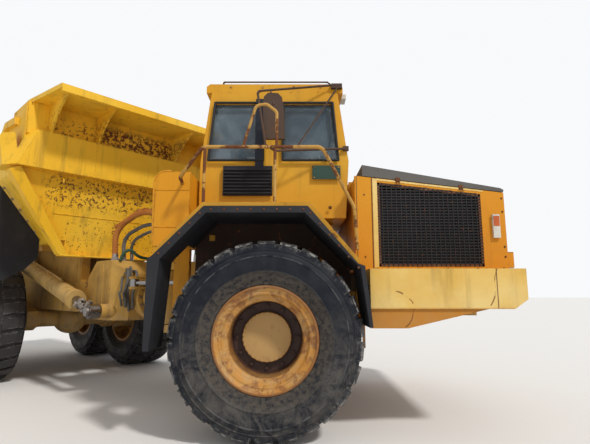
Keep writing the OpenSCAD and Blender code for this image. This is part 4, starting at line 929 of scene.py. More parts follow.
def rim_outline():
    """The whole section, from the flange over face, hub and back to the flange."""
    flange = [(RIM_R + r, y) for r, y in
              ((0, -0.070), (0, -0.058), (-0.006, -0.051), (-0.018, -0.050),
               (-0.026, -0.058), (-0.032, -0.066))]
    ledge = [(0.438, -0.070), (0.428, -0.078), (0.420, -0.079), (0.412, -0.076),
             (0.400, -0.080), (0.386, -0.104), (0.374, -0.112), (0.352, -0.116),
             (0.341, -0.126), (0.336, -0.140)]
    recess = [(0.334, -0.330), (0.318, -0.386), (0.236, -0.392), (0.234, -0.340)]
    hub = [(0.226, -HUB_DEEP), (0.150, -HUB_DEEP + 0.004), (0.120, -HUB_DEEP + 0.001),
           (0.0001, -HUB_DEEP + 0.001)]
    back = [(0.0001, HUB_BACK), (0.30, HUB_BACK), (BARREL, HUB_BACK), (BARREL, -TYRE_W + 0.06),
            (RIM_R, -TYRE_W + 0.06), (RIM_R, -TYRE_W + 0.07), (BACK_LIP, -TYRE_W + 0.082),
            (BACK_LIP, -0.082), (RIM_R, -0.070)]
    return flange + ledge + recess + hub + back


def rim_shape(bm):
    ring_of(bm, rim_outline(), 96)
    for turn in around(12):
        at = Vector((0.285 * math.sin(turn), -0.388, 0.285 * math.cos(turn)))
        bolt_head(bm, at, (0, 1, 0), 0.017, 0.030)
    for turn in around(30):
        at = Vector((0.218 * math.sin(turn), -HUB_DEEP - 0.006, 0.218 * math.cos(turn)))
        rod(bm, at, at + Vector((0, 0.012, 0)), 0.016, 8, 0.013)
    valve = Vector((0.0, -0.095, -0.395))
    rod(bm, valve, valve + Vector((0, 0.050, 0)), 0.008, 8)


# %% [markdown]
# ## Six wheels
# A wheel is shaped with its outer face at y = 0 and its axle along Y. Every vertex notes that
# place as the attribute that the materials read, and then the mesh is put on its own axle,
# mirrored for the right side.

# %% Six wheels
def make_wheel(name, side, body, node_tyre, node_rim):
    axle = Vector(joints[body + "_spin"]["pos_m"])
    unit = tractor if name == "front" else rear_unit
    out = unit.to_3x3() @ Vector((0, side, 0))
    turn = unit.to_3x3().to_4x4() @ Matrix.Scale(side, 4, (0, 1, 0))
    low, high = span(node_tyre, unit)
    reach = (high.y if side > 0 else -low.y) - abs((unit.inverted() @ axle).y)
    where = Matrix.Translation(axle + out * reach) @ turn
    for label, shape, material, slot, node in (
            ("tyre", tyre_shape, tyre_rubber, "tyre", node_tyre),
            ("rim", rim_shape, rim_paint, "rim_paint", node_rim)):
        bm = bmesh.new()
        shape(bm)
        bm.verts.index_update()
        local = bm.verts.layers.float_vector.new("wheel")
        for vert in bm.verts:
            vert[local] = vert.co
        finish(f"{body}_{label}_shape", bm, material, body, where, [node], 34)


for unit_name in ("front", "mid", "rear"):
    for side_name, side in (("right", -1), ("left", 1)):
        make_wheel(unit_name, side, f"{unit_name}_wheel_{side_name}",
                   f"{unit_name}_tyre_{side_name}", f"{unit_name}_rim_{side_name}")
print("six wheels made")

# %% [markdown]
# ## Window rubber
# A pane sits in a rubber profile. A rod along each edge with a ball in each corner gives that
# round section without any joint to model. The places are read from the box round the cab's
# solid, so they stay true when the cab is made wider. That box also holds the door's hinges,
# so the trim of the right side stands two to three centimetres off its sheet.

# %% Window rubber
cab_low, cab_high = span("cab_shell", tractor)
CAB_RIGHT = -cab_high.y
BELT, HEAD = 2.725, 3.385
FACE_LOW, FACE_TOP = 2.715, 3.52
FRONT_LEAN = -0.11 / (FACE_TOP - FACE_LOW)
REAR_LEAN = 0.124
SEAL_R = 0.014
right_panes = [[(-0.68, BELT), (-0.085, BELT), (-0.085, HEAD), (-0.62, HEAD)],
               [(0.13, BELT), (0.735, BELT), (0.68, HEAD), (0.13, HEAD)]]
left_panes = [[(-0.68, BELT), (-0.16, BELT), (-0.16, HEAD), (-0.62, HEAD)]]


def loop_of_rods(bm, corners, radius):
    """A closed rubber profile: a rod along each edge and a ball in each corner."""
    for a, b in zip(corners, corners[1:] + corners[:1]):
        rod(bm, a, b, radius, 8)
        bmesh.ops.create_icosphere(bm, subdivisions=1, radius=radius * 1.05,
                                   matrix=Matrix.Translation(a))


def leaning_pane(face_x, lean, half_low, half_high):
    """Corners of the front or the rear pane, which leans with the cab's face."""
    low_z = BELT + 0.03
    return [Vector((face_x + lean * (z - FACE_LOW), y, z)) for y, z in
            ((-half_low, low_z), (half_low, low_z), (half_high, HEAD), (-half_high, HEAD))]


bm = bmesh.new()
for panes, y in ((right_panes, CAB_RIGHT - 0.002), (left_panes, -CAB_RIGHT + 0.002)):
    for pane in panes:
        loop_of_rods(bm, [Vector((x, y, z)) for x, z in pane], SEAL_R)
loop_of_rods(bm, leaning_pane(cab_high.x + 0.002, FRONT_LEAN, 0.84, 0.82), SEAL_R)
loop_of_rods(bm, leaning_pane(cab_low.x - 0.002, REAR_LEAN, 0.82, 0.81), SEAL_R)
finish("window_rubber", bm, seal_rubber, "tractor", tractor)
print("panes sealed", len(right_panes) + len(left_panes) + 2)

# %% [markdown]
# ## Pillar, louvre and plate
# A dark pillar stands between the two right panes, and the louvre below them takes air for
# the heater: eight slats, each a thin plate with a slanted section. The plate beside it was
# made for a number and is blank here.

# %% Pillar, louvre and plate
LOUVRE_X0, LOUVRE_X1 = -0.500, 0.008
LOUVRE_Z0, LOUVRE_Z1 = 2.336, 2.655
SLATS, SLAT_PITCH = 8, 0.037

bm = bmesh.new()
block(bm, (-0.170, CAB_RIGHT - 0.006, BELT - 0.065), (-0.078, CAB_RIGHT + 0.01, 3.43), 0.003)
block(bm, (-0.515, CAB_RIGHT - 0.004, 2.330), (0.020, CAB_RIGHT + 0.01, 2.660), 0.002)
finish("cab_pillar", bm, navy_paint, "tractor", tractor)

bm = bmesh.new()
for i in range(SLATS):
    z = LOUVRE_Z0 + 0.016 + i * SLAT_PITCH
    plate(bm, [(CAB_RIGHT - 0.006, z + 0.020), (CAB_RIGHT - 0.024, z - 0.004),
               (CAB_RIGHT - 0.027, z - 0.002), (CAB_RIGHT - 0.008, z + 0.024)],
          "x", LOUVRE_X0, LOUVRE_X1)
for x0, x1 in ((LOUVRE_X0 - 0.012, LOUVRE_X0), (LOUVRE_X1, LOUVRE_X1 + 0.010)):
    block(bm, (x0, CAB_RIGHT - 0.022, LOUVRE_Z0), (x1, CAB_RIGHT, LOUVRE_Z1), 0.002)
finish("cab_louvre", bm, black_paint, "tractor", tractor)

bm = bmesh.new()
block(bm, (0.451, CAB_RIGHT - 0.004, 2.512), (0.756, CAB_RIGHT, 2.664), 0.001)
finish("blank_plate", bm, plate_green, "tractor", tractor)
print("louvre slats", SLATS)

# %% [markdown]
# ## Bolts, door handle and wipers
# Bolts stand where the real panels are held: along the cab's foot, the roof's edge and the
# corners of the blank plate. The handle is a bent bar on the door, so it rides on the door's
# body, and each wiper is a bent arm with a straight blade.

# %% Cab hardware
CAB_FOOT, ROOF_EDGE = 2.20, 3.57

bm = bmesh.new()
side_bolts(bm, -CAB_RIGHT, [(x, CAB_FOOT) for x in (-0.66, -0.35, 0.06, 0.35, 0.64)], 0.013)
for x in (-0.45, -0.1, 0.25, 0.55):
    bolt_head(bm, (x, CAB_RIGHT + 0.008, ROOF_EDGE), (0, -1, 0), 0.010)
for x, z in ((0.47, 2.53), (0.737, 2.53), (0.47, 2.645), (0.737, 2.645)):
    bolt_head(bm, (x, CAB_RIGHT - 0.004, z), (0, -1, 0), 0.006)
finish("cab_bolts", bm, rail_paint, "tractor", tractor)

bm = bmesh.new()
tube(bm, [(0.47, 0.932, 2.50), (0.47, 0.965, 2.50), (0.59, 0.965, 2.50), (0.59, 0.932, 2.50)],
     0.010, 10, 0.015, 3)
block(bm, (0.545, 0.930, 2.42), (0.60, 0.938, 2.46), 0.003)
finish("door_handle", bm, trim_plastic, "door", tractor)

bm = bmesh.new()
for side in (-1, 1):
    rod(bm, (0.872, 0.30 * side, 2.70), (0.850, 0.30 * side, 2.70), 0.024, 12)
    tube(bm, [(0.868, 0.30 * side, 2.70), (0.862, 0.05 * side, 2.90), (0.829, 0.02 * side, 3.10)],
         0.006, 8, 0.05, 4)
    rod(bm, (0.858, 0.03 * side, 2.86), (0.797, 0.02 * side, 3.31), 0.008, 6)
finish("wipers", bm, trim_plastic, "tractor", tractor)
print("handle and wipers fitted")

# %% [markdown]
# ## A padded seat
# A seat cushion is foam under cloth: a crowned, closed form that pulls in between its corners.
# Each pad starts as a block a little smaller than its solid, is remeshed into small even
# faces, and is blown up by Cloth with pressure and no gravity. Every vertex may travel only a
# little way, so the pad stays inside the place that its solid holds.

# %% Padded seat
PAD_VOXEL = 0.011
PAD_TRAVEL = 0.022
PAD_PRESSURE = 4
PAD_FRAMES = 20
PAD_ROUND = 0.03


def apply_modifiers(piece):
    graph = bpy.context.evaluated_depsgraph_get()
    made = bpy.data.meshes.new_from_object(piece.evaluated_get(graph), depsgraph=graph)
    piece.modifiers.clear()
    piece.data = made


def blow_up(piece):
    """Lets Cloth inflate a pad, and holds every vertex near where it began."""
    before = [vert.co.copy() for vert in piece.data.vertices]
    cloth = piece.modifiers.new("cloth", "CLOTH")
    cloth.settings.use_pressure = True
    cloth.settings.uniform_pressure_force = PAD_PRESSURE
    cloth.settings.effector_weights.gravity = 0
    for frame_number in range(1, PAD_FRAMES + 1):
        scene.frame_set(frame_number)
    apply_modifiers(piece)
    for vert, start in zip(piece.data.vertices, before):
        move = vert.co - start
        if move.length > PAD_TRAVEL:
            vert.co = start + move.normalized() * PAD_TRAVEL
    scene.frame_set(1)


def seat_pad(name, low, high, tilt=0.0):
    """A pad between two corners, whose top leans back by its tilt."""
    bm = bmesh.new()
    for vert in block(bm, low, high, PAD_ROUND):
        vert.co.x -= (vert.co.z - low[2]) * tilt
    mesh = bpy.data.meshes.new(name)
    bm.transform(tractor)
    bm.to_mesh(mesh)
    bm.free()
    piece = bpy.data.objects.new(name, mesh)
    scene.collection.objects.link(piece)
    remesh = piece.modifiers.new("remesh", "REMESH")
    remesh.mode = "VOXEL"
    remesh.voxel_size = PAD_VOXEL
    apply_modifiers(piece)
    blow_up(piece)
    smooth = piece.modifiers.new("smooth", "SUBSURF")
    smooth.levels = 1
    smooth.render_levels = 1
    apply_modifiers(piece)
    for face in piece.data.polygons:
        face.use_smooth = True
    return piece


seat_base = span("seat", tractor)[0].z
cushion = seat_pad("seat_cushion", (-0.320, -0.225, seat_base + 0.345),
                   (0.130, 0.225, seat_base + 0.430))
backrest = seat_pad("seat_backrest", (-0.415, -0.215, seat_base + 0.470),
                    (-0.345, 0.215, seat_base + 0.975), 0.09)
for pad in (cushion, backrest):
    pad.data.materials.clear()
    pad.data.materials.append(seat_cloth)
    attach(pad, "tractor")
print("pads of", len(cushion.data.vertices), "and", len(backrest.data.vertices), "vertices")

# %% [markdown]
# ## The seat's frame
# Under the pads are a foot plate, a bellows of six folds, a pan and a bracket for the back.
# Together with the pads they take the place of the plain solid.

# %% Seat frame
FOLDS, FOLD_PITCH = 6, 0.042

bm = bmesh.new()
block(bm, (-0.20, -0.15, seat_base), (0.02, 0.15, seat_base + 0.03), 0.006)
for i in range(FOLDS):
    half = 0.135 if i % 2 else 0.155
    block(bm, (-0.09 - half, -half, seat_base + 0.03 + i * FOLD_PITCH),
          (-0.09 + half, half, seat_base + 0.07 + i * FOLD_PITCH), 0.012)
block(bm, (-0.335, -0.215, seat_base + 0.285), (0.125, 0.215, seat_base + 0.335), 0.015)
block(bm, (-0.400, -0.17, seat_base + 0.32), (-0.335, 0.17, seat_base + 0.50), 0.015)
finish("seat_frame", bm, trim_plastic, "tractor", tractor, stands_for=["seat"])
print("cab dressed")

# %% [markdown]
# ## The grilles
# Behind the thick bars of the construction model the real grille is a fine mesh: flat bars
# that run level, and thin wires that stand between them. The bars end where the sloping top
# frame meets them, so their length is worked out from their height.

# %% Grille mesh
GRILLE_SIDE = span("grilles", tractor)[1].y
GRILLE_X0, GRILLE_X1, GRILLE_Z0 = 1.112, 2.168, 1.562
GRILLE_TOP0, GRILLE_TOP1 = 2.429, 2.305
FRONT_X, FRONT_HALF, FRONT_LOW, FRONT_TOP = 2.390, 0.799, 1.677, 2.149
SIDE_BARS, SIDE_WIRES = 28, 22
FRONT_BARS, FRONT_WIRES = 14, 34
BAR_HALF, WIRE_HALF = 0.006, 0.004


def grille_top(x):
    """Height of the side grille's sloping top edge."""
    return GRILLE_TOP0 + (GRILLE_TOP1 - GRILLE_TOP0) * (x - GRILLE_X0) / (GRILLE_X1 - GRILLE_X0)


def grille_reach(z):
    """How far forward a level bar runs before it meets the sloping edge."""
    if z <= GRILLE_TOP1:
        return GRILLE_X1
    share = (GRILLE_TOP0 - z) / (GRILLE_TOP0 - GRILLE_TOP1)
    return GRILLE_X0 + share * (GRILLE_X1 - GRILLE_X0)


def side_mesh(bm, side):
    y = GRILLE_SIDE * side
    for i in range(1, SIDE_BARS + 1):
        z = GRILLE_Z0 + i * (GRILLE_TOP0 - GRILLE_Z0) / (SIDE_BARS + 1)
        block(bm, (GRILLE_X0, y - 0.006, z - BAR_HALF),
              (grille_reach(z), y + 0.006, z + BAR_HALF))
    for i in range(1, SIDE_WIRES):
        x = GRILLE_X0 + i * (GRILLE_X1 - GRILLE_X0) / SIDE_WIRES
        block(bm, (x - WIRE_HALF, y - 0.009, GRILLE_Z0),
              (x + WIRE_HALF, y + 0.003, grille_top(x)))


def front_mesh(bm):
    for i in range(1, FRONT_BARS + 1):
        z = FRONT_LOW + i * (FRONT_TOP - FRONT_LOW) / (FRONT_BARS + 1)
        block(bm, (FRONT_X - 0.005, -FRONT_HALF, z - BAR_HALF),
              (FRONT_X + 0.007, FRONT_HALF, z + BAR_HALF))
    for i in range(1, FRONT_WIRES):
        y = -FRONT_HALF + i * 2 * FRONT_HALF / FRONT_WIRES
        block(bm, (FRONT_X - 0.008, y - WIRE_HALF, FRONT_LOW),
              (FRONT_X + 0.004, y + WIRE_HALF, FRONT_TOP))


bm = bmesh.new()
side_mesh(bm, -1)
side_mesh(bm, 1)
front_mesh(bm)
finish("grille_mesh", bm, black_paint, "tractor", tractor,
       stands_for=["grilles"])
print("grille bars", 2 * SIDE_BARS + FRONT_BARS, "wires", 2 * SIDE_WIRES + FRONT_WIRES - 3)

# %% [markdown]
# ## Frames, slats and the painted shade behind the grilles
# A rusty frame of flat strips holds each mesh. Pale radiator slats show through the sides,
# and a dark sheet behind them is painted shade, which also stops the eye from seeing through the
# hood.

# %% Grille frames and what shows behind
SIDE_STRIP, FRONT_STRIP = 0.024, 0.03
SLATS_X0, SLATS_X1, SLATS_LOW, SLATS_TOP = 1.34, 1.79, 1.84, 2.12


def side_frame(bm, side):
    inner, outer = (GRILLE_SIDE - 0.018) * side, (GRILLE_SIDE + 0.004) * side
    for low, high in (((GRILLE_X0, GRILLE_Z0), (GRILLE_X0 + SIDE_STRIP, GRILLE_TOP0)),
                      ((GRILLE_X1 - SIDE_STRIP, GRILLE_Z0), (GRILLE_X1, GRILLE_TOP1)),
                      ((GRILLE_X0, GRILLE_Z0), (GRILLE_X1, GRILLE_Z0 + SIDE_STRIP))):
        block(bm, (low[0], inner, low[1]), (high[0], outer, high[1]), 0.002)
    plate(bm, [(GRILLE_X0, GRILLE_TOP0 - SIDE_STRIP), (GRILLE_X1, GRILLE_TOP1 - SIDE_STRIP),
               (GRILLE_X1, GRILLE_TOP1), (GRILLE_X0, GRILLE_TOP0)], "y", inner, outer)


def front_frame(bm):
    back, face = FRONT_X - 0.012, FRONT_X + 0.012
    for y in (-FRONT_HALF, FRONT_HALF - FRONT_STRIP):
        block(bm, (back, y, FRONT_LOW), (face, y + FRONT_STRIP, FRONT_TOP), 0.002)
    for z in (FRONT_LOW, FRONT_TOP - FRONT_STRIP):
        block(bm, (back, -FRONT_HALF, z), (face, FRONT_HALF, z + FRONT_STRIP), 0.002)


bm = bmesh.new()
side_frame(bm, -1)
side_frame(bm, 1)
front_frame(bm)
finish("grille_frame", bm, exhaust_rust, "tractor", tractor)

bm = bmesh.new()
for side in (-1, 1):
    y = (GRILLE_SIDE - 0.16) * side
    for i in range(6):
        x = SLATS_X0 + 0.02 + i * 0.075
        block(bm, (x, y - 0.010, SLATS_LOW + 0.02), (x + 0.030, y + 0.010, SLATS_TOP), 0.003)
    for z in (SLATS_LOW, SLATS_TOP):
        block(bm, (SLATS_X0, y - 0.012, z), (SLATS_X1, y + 0.012, z + 0.025), 0.003)
finish("radiator_slats", bm, bare_steel, "tractor", tractor)

# Painted shade: dark sheets stand for the shade inside the hood, behind the grilles.
bm = bmesh.new()
for y in (-1.100, 1.095):
    block(bm, (1.00, y, 1.56), (2.30, y + 0.004, 2.34))
block(bm, (2.30, -1.05, 1.56), (2.305, 1.05, 2.30))
finish("grille_dark", bm, trim_plastic, "tractor", tractor)
print("grilles framed")

# %% [markdown]
# ## Seams and flange of the hood
# The hood's panels are screwed to its frame, with seam strips in front of the cab and a pale
# flange behind and above the grille, under the lid, whose paleness is a painted highlight of the
# sun. All of them end where the lid's lower edge slopes down to the front.

# %% Hood seams and flange
hood_low, hood_high = span("hood_panels", tractor)
SIDE = hood_high.y
LID_REAR, LID_FRONT = 2.508, 2.328
FLANGE_X = 1.062


def lid_edge(x):
    """Height of the lid's lower edge at x."""
    share = (x - hood_low.x) / (hood_high.x - hood_low.x)
    return LID_REAR + (LID_FRONT - LID_REAR) * share


bm = bmesh.new()
for side in (-1, 1):
    for x0, x1, low, near in ((1.050, 1.058, 1.530, 1.054), (0.895, 0.901, 1.535, 0.900)):
        block(bm, (x0, SIDE * side, low), (x1, (SIDE + 0.003) * side, lid_edge(near) - 0.012))
side_bolts(bm, SIDE, [(0.975, 1.66), (0.975, 2.30)], 0.006)
side_bolts(bm, SIDE, [(x, 1.545) for x in (1.20, 1.50, 1.80, 2.10, 2.36)], 0.005)
side_bolts(bm, SIDE, [(2.385, z) for z in (1.66, 1.76, 2.12, 2.26)], 0.007)
finish("hood_seams", bm, exhaust_rust, "tractor", tractor)

# Painted highlight: the flange takes the pale bumper paint, standing for a strip that the sun
# lights.
bm = bmesh.new()
for side in (-1, 1):
    inner, outer = SIDE * side, (SIDE + 0.004) * side
    block(bm, (FLANGE_X, inner, 1.550), (GRILLE_X0 - 0.002, outer, lid_edge(1.08) - 0.030), 0.001)
    plate(bm, [(FLANGE_X, lid_edge(FLANGE_X) - 0.030),
               (GRILLE_X1 + 0.03, lid_edge(GRILLE_X1) - 0.030),
               (GRILLE_X1 + 0.03, lid_edge(GRILLE_X1) - 0.012),
               (FLANGE_X, lid_edge(FLANGE_X) - 0.012)], "y", inner, outer)
finish("hood_sunlit_flange", bm, bumper_paint, "tractor", tractor)
print("lid's edge falls from", round(lid_edge(FLANGE_X), 3), "to", round(lid_edge(GRILLE_X1), 3))

# %% [markdown]
# ## Lamp housings, latches and lenses
# Each front lamp sits under a thin hood of sheet on three sides. Two latches a side hold the
# lid: a small block with a bent wire. The orange lenses are the turn signals at the front and
# the reflectors on the hood's corners, and a dark seam marks the end cap of the bumper.

# %% Hood hardware
LAMP_X0, LAMP_X1, LAMP_LOW, LAMP_TOP = 2.412, 2.474, 1.554, 1.710

bm = bmesh.new()
for side in (-1, 1):
    inner, outer = (SIDE - 0.206) * side, (SIDE - 0.014) * side
    block(bm, (LAMP_X0, inner, LAMP_TOP - 0.006), (LAMP_X1, outer, LAMP_TOP), 0.001)
    for y, thick in ((inner, 0.005 * side), (outer, -0.005 * side)):
        block(bm, (LAMP_X0, y, LAMP_LOW), (LAMP_X1, y + thick, LAMP_TOP), 0.001)
finish("lamp_housings", bm, hood_paint, "tractor", tractor)

bm = bmesh.new()
for side in (-1, 1):
    y, near, far = ((SIDE + out) * side for out in (0.002, 0.012, 0.020))
    for x in (1.30, 1.95):
        z = lid_edge(x) - 0.030
        block(bm, (x, y - 0.006, z), (x + 0.05, y + 0.006, z + 0.05), 0.004)
        tube(bm, [(x + 0.010, near, z + 0.02), (x + 0.010, far, z - 0.03),
                  (x + 0.040, far, z - 0.03), (x + 0.040, near, z + 0.02)], 0.004, 6, 0.01, 2)
finish("hood_latches", bm, exhaust_rust, "tractor", tractor)

bm = bmesh.new()
for side in (-1, 1):
    block(bm, (2.468, 0.99 * side - 0.07, 1.575), (2.474, 0.99 * side + 0.07, 1.650), 0.002)
    block(bm, (2.275, (SIDE + 0.030) * side, 1.970), (2.335, (SIDE + 0.034) * side, 2.073), 0.001)
finish("orange_lenses", bm, lens_orange, "tractor", tractor)

bm = bmesh.new()
for side in (-1, 1):
    plate(bm, [(2.128, 1.160), (2.134, 1.160), (2.134, 1.524), (2.128, 1.524)], "y",
          1.480 * side, 1.4825 * side)
finish("bumper_seam", bm, exhaust_rust, "tractor", tractor)
print("hood's hardware fitted")

# %% [markdown]
# ## Bolts of the fenders
# Round-headed bolts hold the rubber arches to the fenders. They follow the arch: down the
# slope in front, along the deck, and down the slope behind.

# %% Fender bolts
GUARD_SIDE = span("mudguards", tractor)[1].y + 0.001
BOLT_LINE = 2.045

front_slope = [(x, BOLT_LINE - (x - 0.38) * 1.16) for x in (0.405 + t * 0.085 for t in range(6))]
rear_slope = [(x, BOLT_LINE + (x + 0.57) * 1.01) for x in (-0.60 - t * 0.09 for t in range(5))]
deck_line = [(-0.50 + t * 0.12, BOLT_LINE + 0.007) for t in range(8)]
bm = bmesh.new()
side_bolts(bm, GUARD_SIDE, front_slope + rear_slope + deck_line, 0.007)
finish("fender_bolts", bm, exhaust_rust, "tractor", tractor)
print("fender bolts", 2 * len(front_slope + rear_slope + deck_line))

# %% [markdown]
# ## Liners behind the wheels
# Inside each arch a dark plate closes the gap between the fender and the frame. Its top edge
# follows the fender's underside and its lower edge runs a hand's width over the tyre. A
# strip of grid faces is bent to both edges and then extruded, because one large face with a
# hollow edge would be cut into triangles badly.

# %% Arch liners
LINER_Y, LINER_GAP, LINER_T = 0.947, 0.050, 0.006
LINER_STRIPS = 27
fender_under = [(-0.78, 1.855), (-0.57, 2.072), (0.38, 2.072), (0.84, 1.530)]
LINER_X0, LINER_X1 = fender_under[0][0], fender_under[-1][0]


def under_fender(x):
    """Height of the fender's underside, whose outline is a few straight runs."""
    for (x0, z0), (x1, z1) in zip(fender_under, fender_under[1:]):
        if x <= x1 + 1e-6:
            return z0 + (z1 - z0) * (x - x0) / (x1 - x0)


def over_tyre(x):
    """Height of a circle round the axle that clears the tyre."""
    return front_axle.z + math.sqrt((TYRE_R + LINER_GAP) ** 2 - x ** 2)


bm = bmesh.new()
for side in (-1, 1):
    grid = bmesh.ops.create_grid(bm, x_segments=LINER_STRIPS, y_segments=1, size=1)["verts"]
    faces = list({face for vert in grid for face in vert.link_faces})
    for vert in grid:
        x = LINER_X0 + (LINER_X1 - LINER_X0) * (vert.co.x + 1) / 2
        z = under_fender(x) if vert.co.y > 0 else over_tyre(x)
        vert.co = (x, LINER_Y * side, z)
    skin = bmesh.ops.extrude_face_region(bm, geom=faces)["geom"]
    skin = [part for part in skin if isinstance(part, bmesh.types.BMVert)]
    bmesh.ops.translate(bm, verts=skin, vec=(0, LINER_T * side, 0))
finish("arch_liners", bm, arch_paint, "tractor", tractor)
print("liners clear the tyres by", LINER_GAP, "m")

# %% [markdown]
# ## Fittings of the upright tanks
# Each tank has a filler cap, a bent pipe at its rear edge that runs up to the cap, and weld
# beads at its seams. Their places are read from the tank's solid.

# %% Tank fittings
tank_low, tank_high = span("tanks", tractor)
PIPE_R, BEAD_R = 0.011, 0.004

bm = bmesh.new()
for side in (-1, 1):
    x, y = (tank_low.x + tank_high.x) / 2, 1.05 * side
    rod(bm, (x, y, tank_high.z - 0.002), (x, y, tank_high.z + 0.040), 0.055, 20)
    y = (tank_high.y - 0.005) * side
    tube(bm, [(tank_low.x - 0.008, y, 1.80), (tank_low.x - 0.018, y, 2.45),
              (tank_low.x + 0.050, y, tank_high.z + 0.008),
              (tank_low.x + 0.150, y, tank_high.z + 0.010)], PIPE_R, 8, 0.05, 4)
    y = (tank_high.y + 0.0015) * side
    for z in (1.95, 2.33):
        tube(bm, [(tank_low.x + 0.005, y, z), (tank_high.x - 0.005, y, z)], BEAD_R, 6)
finish("tank_fittings", bm, tank_paint, "tractor", tractor)
print("hood, fenders and tanks dressed")

# %% [markdown]
# ## Welds of the tipping body
# Its plates are welded, so seams are beads and joints, not bolts. The gussets of the spill
# guard stand in fillet welds, and its beam is made of lengths with a joint strap between
# them. Directions here are the rear unit's: forward, left and up, from the steering pin.

# %% Welds of the front wall
WALL, CANOPY_END, CANOPY_LOW = -1.15, -0.52, 3.72
BEAM_LOW, BEAM_TOP, BEAM_FACE = 2.850, 3.340, -1.020
BEAD_FILLET, BEAD_SEAM = 0.007, 0.008


def wall_at(z):
    """How far behind the pin the sloping front wall is at a height."""
    return -1.35 + 0.20 * (z - 2.0) / 0.85


def cross_bead(bm, u, half, z, radius):
    """A level weld across the body."""
    tube(bm, [(u, -half, z), (u, half, z)], radius, 6)


bm = bmesh.new()
for v in (-1.2, -0.6, 0.6, 1.2):
    for near in (v - 0.014, v + 0.014):
        tube(bm, [(WALL + 0.032, near, BEAM_TOP), (WALL + 0.032, near, CANOPY_LOW)],
             BEAD_FILLET, 6)
        tube(bm, [(WALL + 0.04, near, CANOPY_LOW - 0.002), (CANOPY_END, near, CANOPY_LOW - 0.002)],
             BEAD_FILLET, 6)
cross_bead(bm, WALL + 0.034, 1.40, BEAM_TOP + 0.003, BEAD_SEAM)
cross_bead(bm, wall_at(BEAM_LOW - 0.002) + 0.004, 1.30, BEAM_LOW - 0.004, BEAD_SEAM)
cross_bead(bm, wall_at(2.34) + 0.003, 1.02, 2.34, 0.006)
for v in (-0.62, 0.31):
    block(bm, (BEAM_FACE - 0.002, v - 0.006, BEAM_LOW + 0.01),
          (BEAM_FACE + 0.004, v + 0.006, BEAM_TOP - 0.01))
finish("body_welds", bm, body_paint, "body", rear_unit)
print("front wall leans", round(wall_at(BEAM_LOW) - wall_at(2.0), 2), "m forward")

# %% [markdown]
# ## Hooks, side welds and flap bolts
# Two chain hooks are bent from bar and welded to the front wall. Plug welds run along the
# sides under the rim, above one long seam, and bolts hold the rubber flaps that keep stones
# off the wheels.

# %% Hooks, side welds and flap bolts
HOOK_Z = 2.76
BODY_HALF, PLUG_Z = 1.520, 2.905
SEAM_Y, SEAM_Z = 1.472, 2.84
PLUGS, PLUG_PITCH = 14, 0.29
FLAP_BOLTS = 5

bm = bmesh.new()
u = wall_at(HOOK_Z)
for v in (-0.98, 0.98):
    tube(bm, [(u, v, HOOK_Z + 0.04), (u + 0.07, v, HOOK_Z + 0.04), (u + 0.09, v, HOOK_Z - 0.06),
              (u + 0.04, v, HOOK_Z - 0.08)], 0.013, 8, 0.03, 4)
    block(bm, (u - 0.004, v - 0.03, HOOK_Z + 0.01), (u + 0.012, v + 0.03, HOOK_Z + 0.07), 0.003)
finish("wall_hooks", bm, body_paint, "body", rear_unit)

bm = bmesh.new()
for side in (-1, 1):
    for i in range(PLUGS):
        u = -2.85 - i * PLUG_PITCH
        rod(bm, (u, BODY_HALF * side, PLUG_Z), (u, (BODY_HALF + 0.003) * side, PLUG_Z), 0.012, 8)
    tube(bm, [(-2.70, SEAM_Y * side, SEAM_Z), (-6.70, SEAM_Y * side, SEAM_Z)], 0.006, 6)
finish("side_welds", bm, body_paint, "body", rear_unit)

bm = bmesh.new()
flap_face = span("body_flaps", rear_unit)[1].x
for side in (-1, 1):
    for i in range(FLAP_BOLTS):
        along_edge = i / (FLAP_BOLTS - 1)
        spot = (flap_face, (0.99 + along_edge * 0.44) * side, 2.17 + along_edge * 0.56)
        bolt_head(bm, spot, (1, 0, 0), 0.014)
finish("flap_bolts", bm, bare_steel, "body", rear_unit)
print("plug welds", 2 * PLUGS, "flap bolts", 2 * FLAP_BOLTS)

# %% [markdown]
# ## The rear frame
# The deep front box of the frame is folded from plate, which shows as soft ridges, and it is
# bolted to the roll bearing by a ring of heads. More bolts hold the cross members.

# %% Rear frame
BOX = 0.495
BEARING_BOLTS, BEARING_R = 16, 0.255

bm = bmesh.new()
for side in (-1, 1):
    for u in (-0.62, -0.83):
        tube(bm, [(u, BOX * side, 1.02), (u, BOX * side, 1.68)], 0.006, 6)
    for z in (1.45, 1.60):
        block(bm, (-0.744, BOX * side, z - 0.05), (-0.716, (BOX + 0.003) * side, z + 0.05))
finish("box_folds", bm, frame_paint, "rear", rear_unit)

bm = bmesh.new()
frame_face = span("rear_frame", rear_unit)[1].x
for a in around(BEARING_BOLTS):
    spot = (frame_face, BEARING_R * math.sin(a), steer_pin.z + BEARING_R * math.cos(a))
    bolt_head(bm, spot, (1, 0, 0), 0.014, 0.014)
side_bolts(bm, BOX, [(u, z) for u in (-0.92, -1.02) for z in (1.06, 1.12)], 0.013)
side_bolts(bm, BOX, [(u, z) for u in (-2.15, -3.96, -5.6) for z in (1.13, 1.37)], 0.013)
finish("frame_bolts", bm, bare_steel, "rear", rear_unit)
print("bearing bolts", BEARING_BOLTS)

# %% [markdown]
# ## Hoists
# The hoists are long cylinders whose glands are ringed. A feed pipe runs along the top of
# each in two clips, and washers stand on its foot pin. All of it is placed along the line
# from the foot pin to the top pin.

# %% Hoists
foot = Vector((-0.620, 0.680, 1.075))
top = Vector((-3.900, 0.680, 1.870))
along = (top - foot).normalized()
up = Vector((0, 0, 1))


def on_side(point, side):
    return Vector((point.x, point.y * side, point.z))


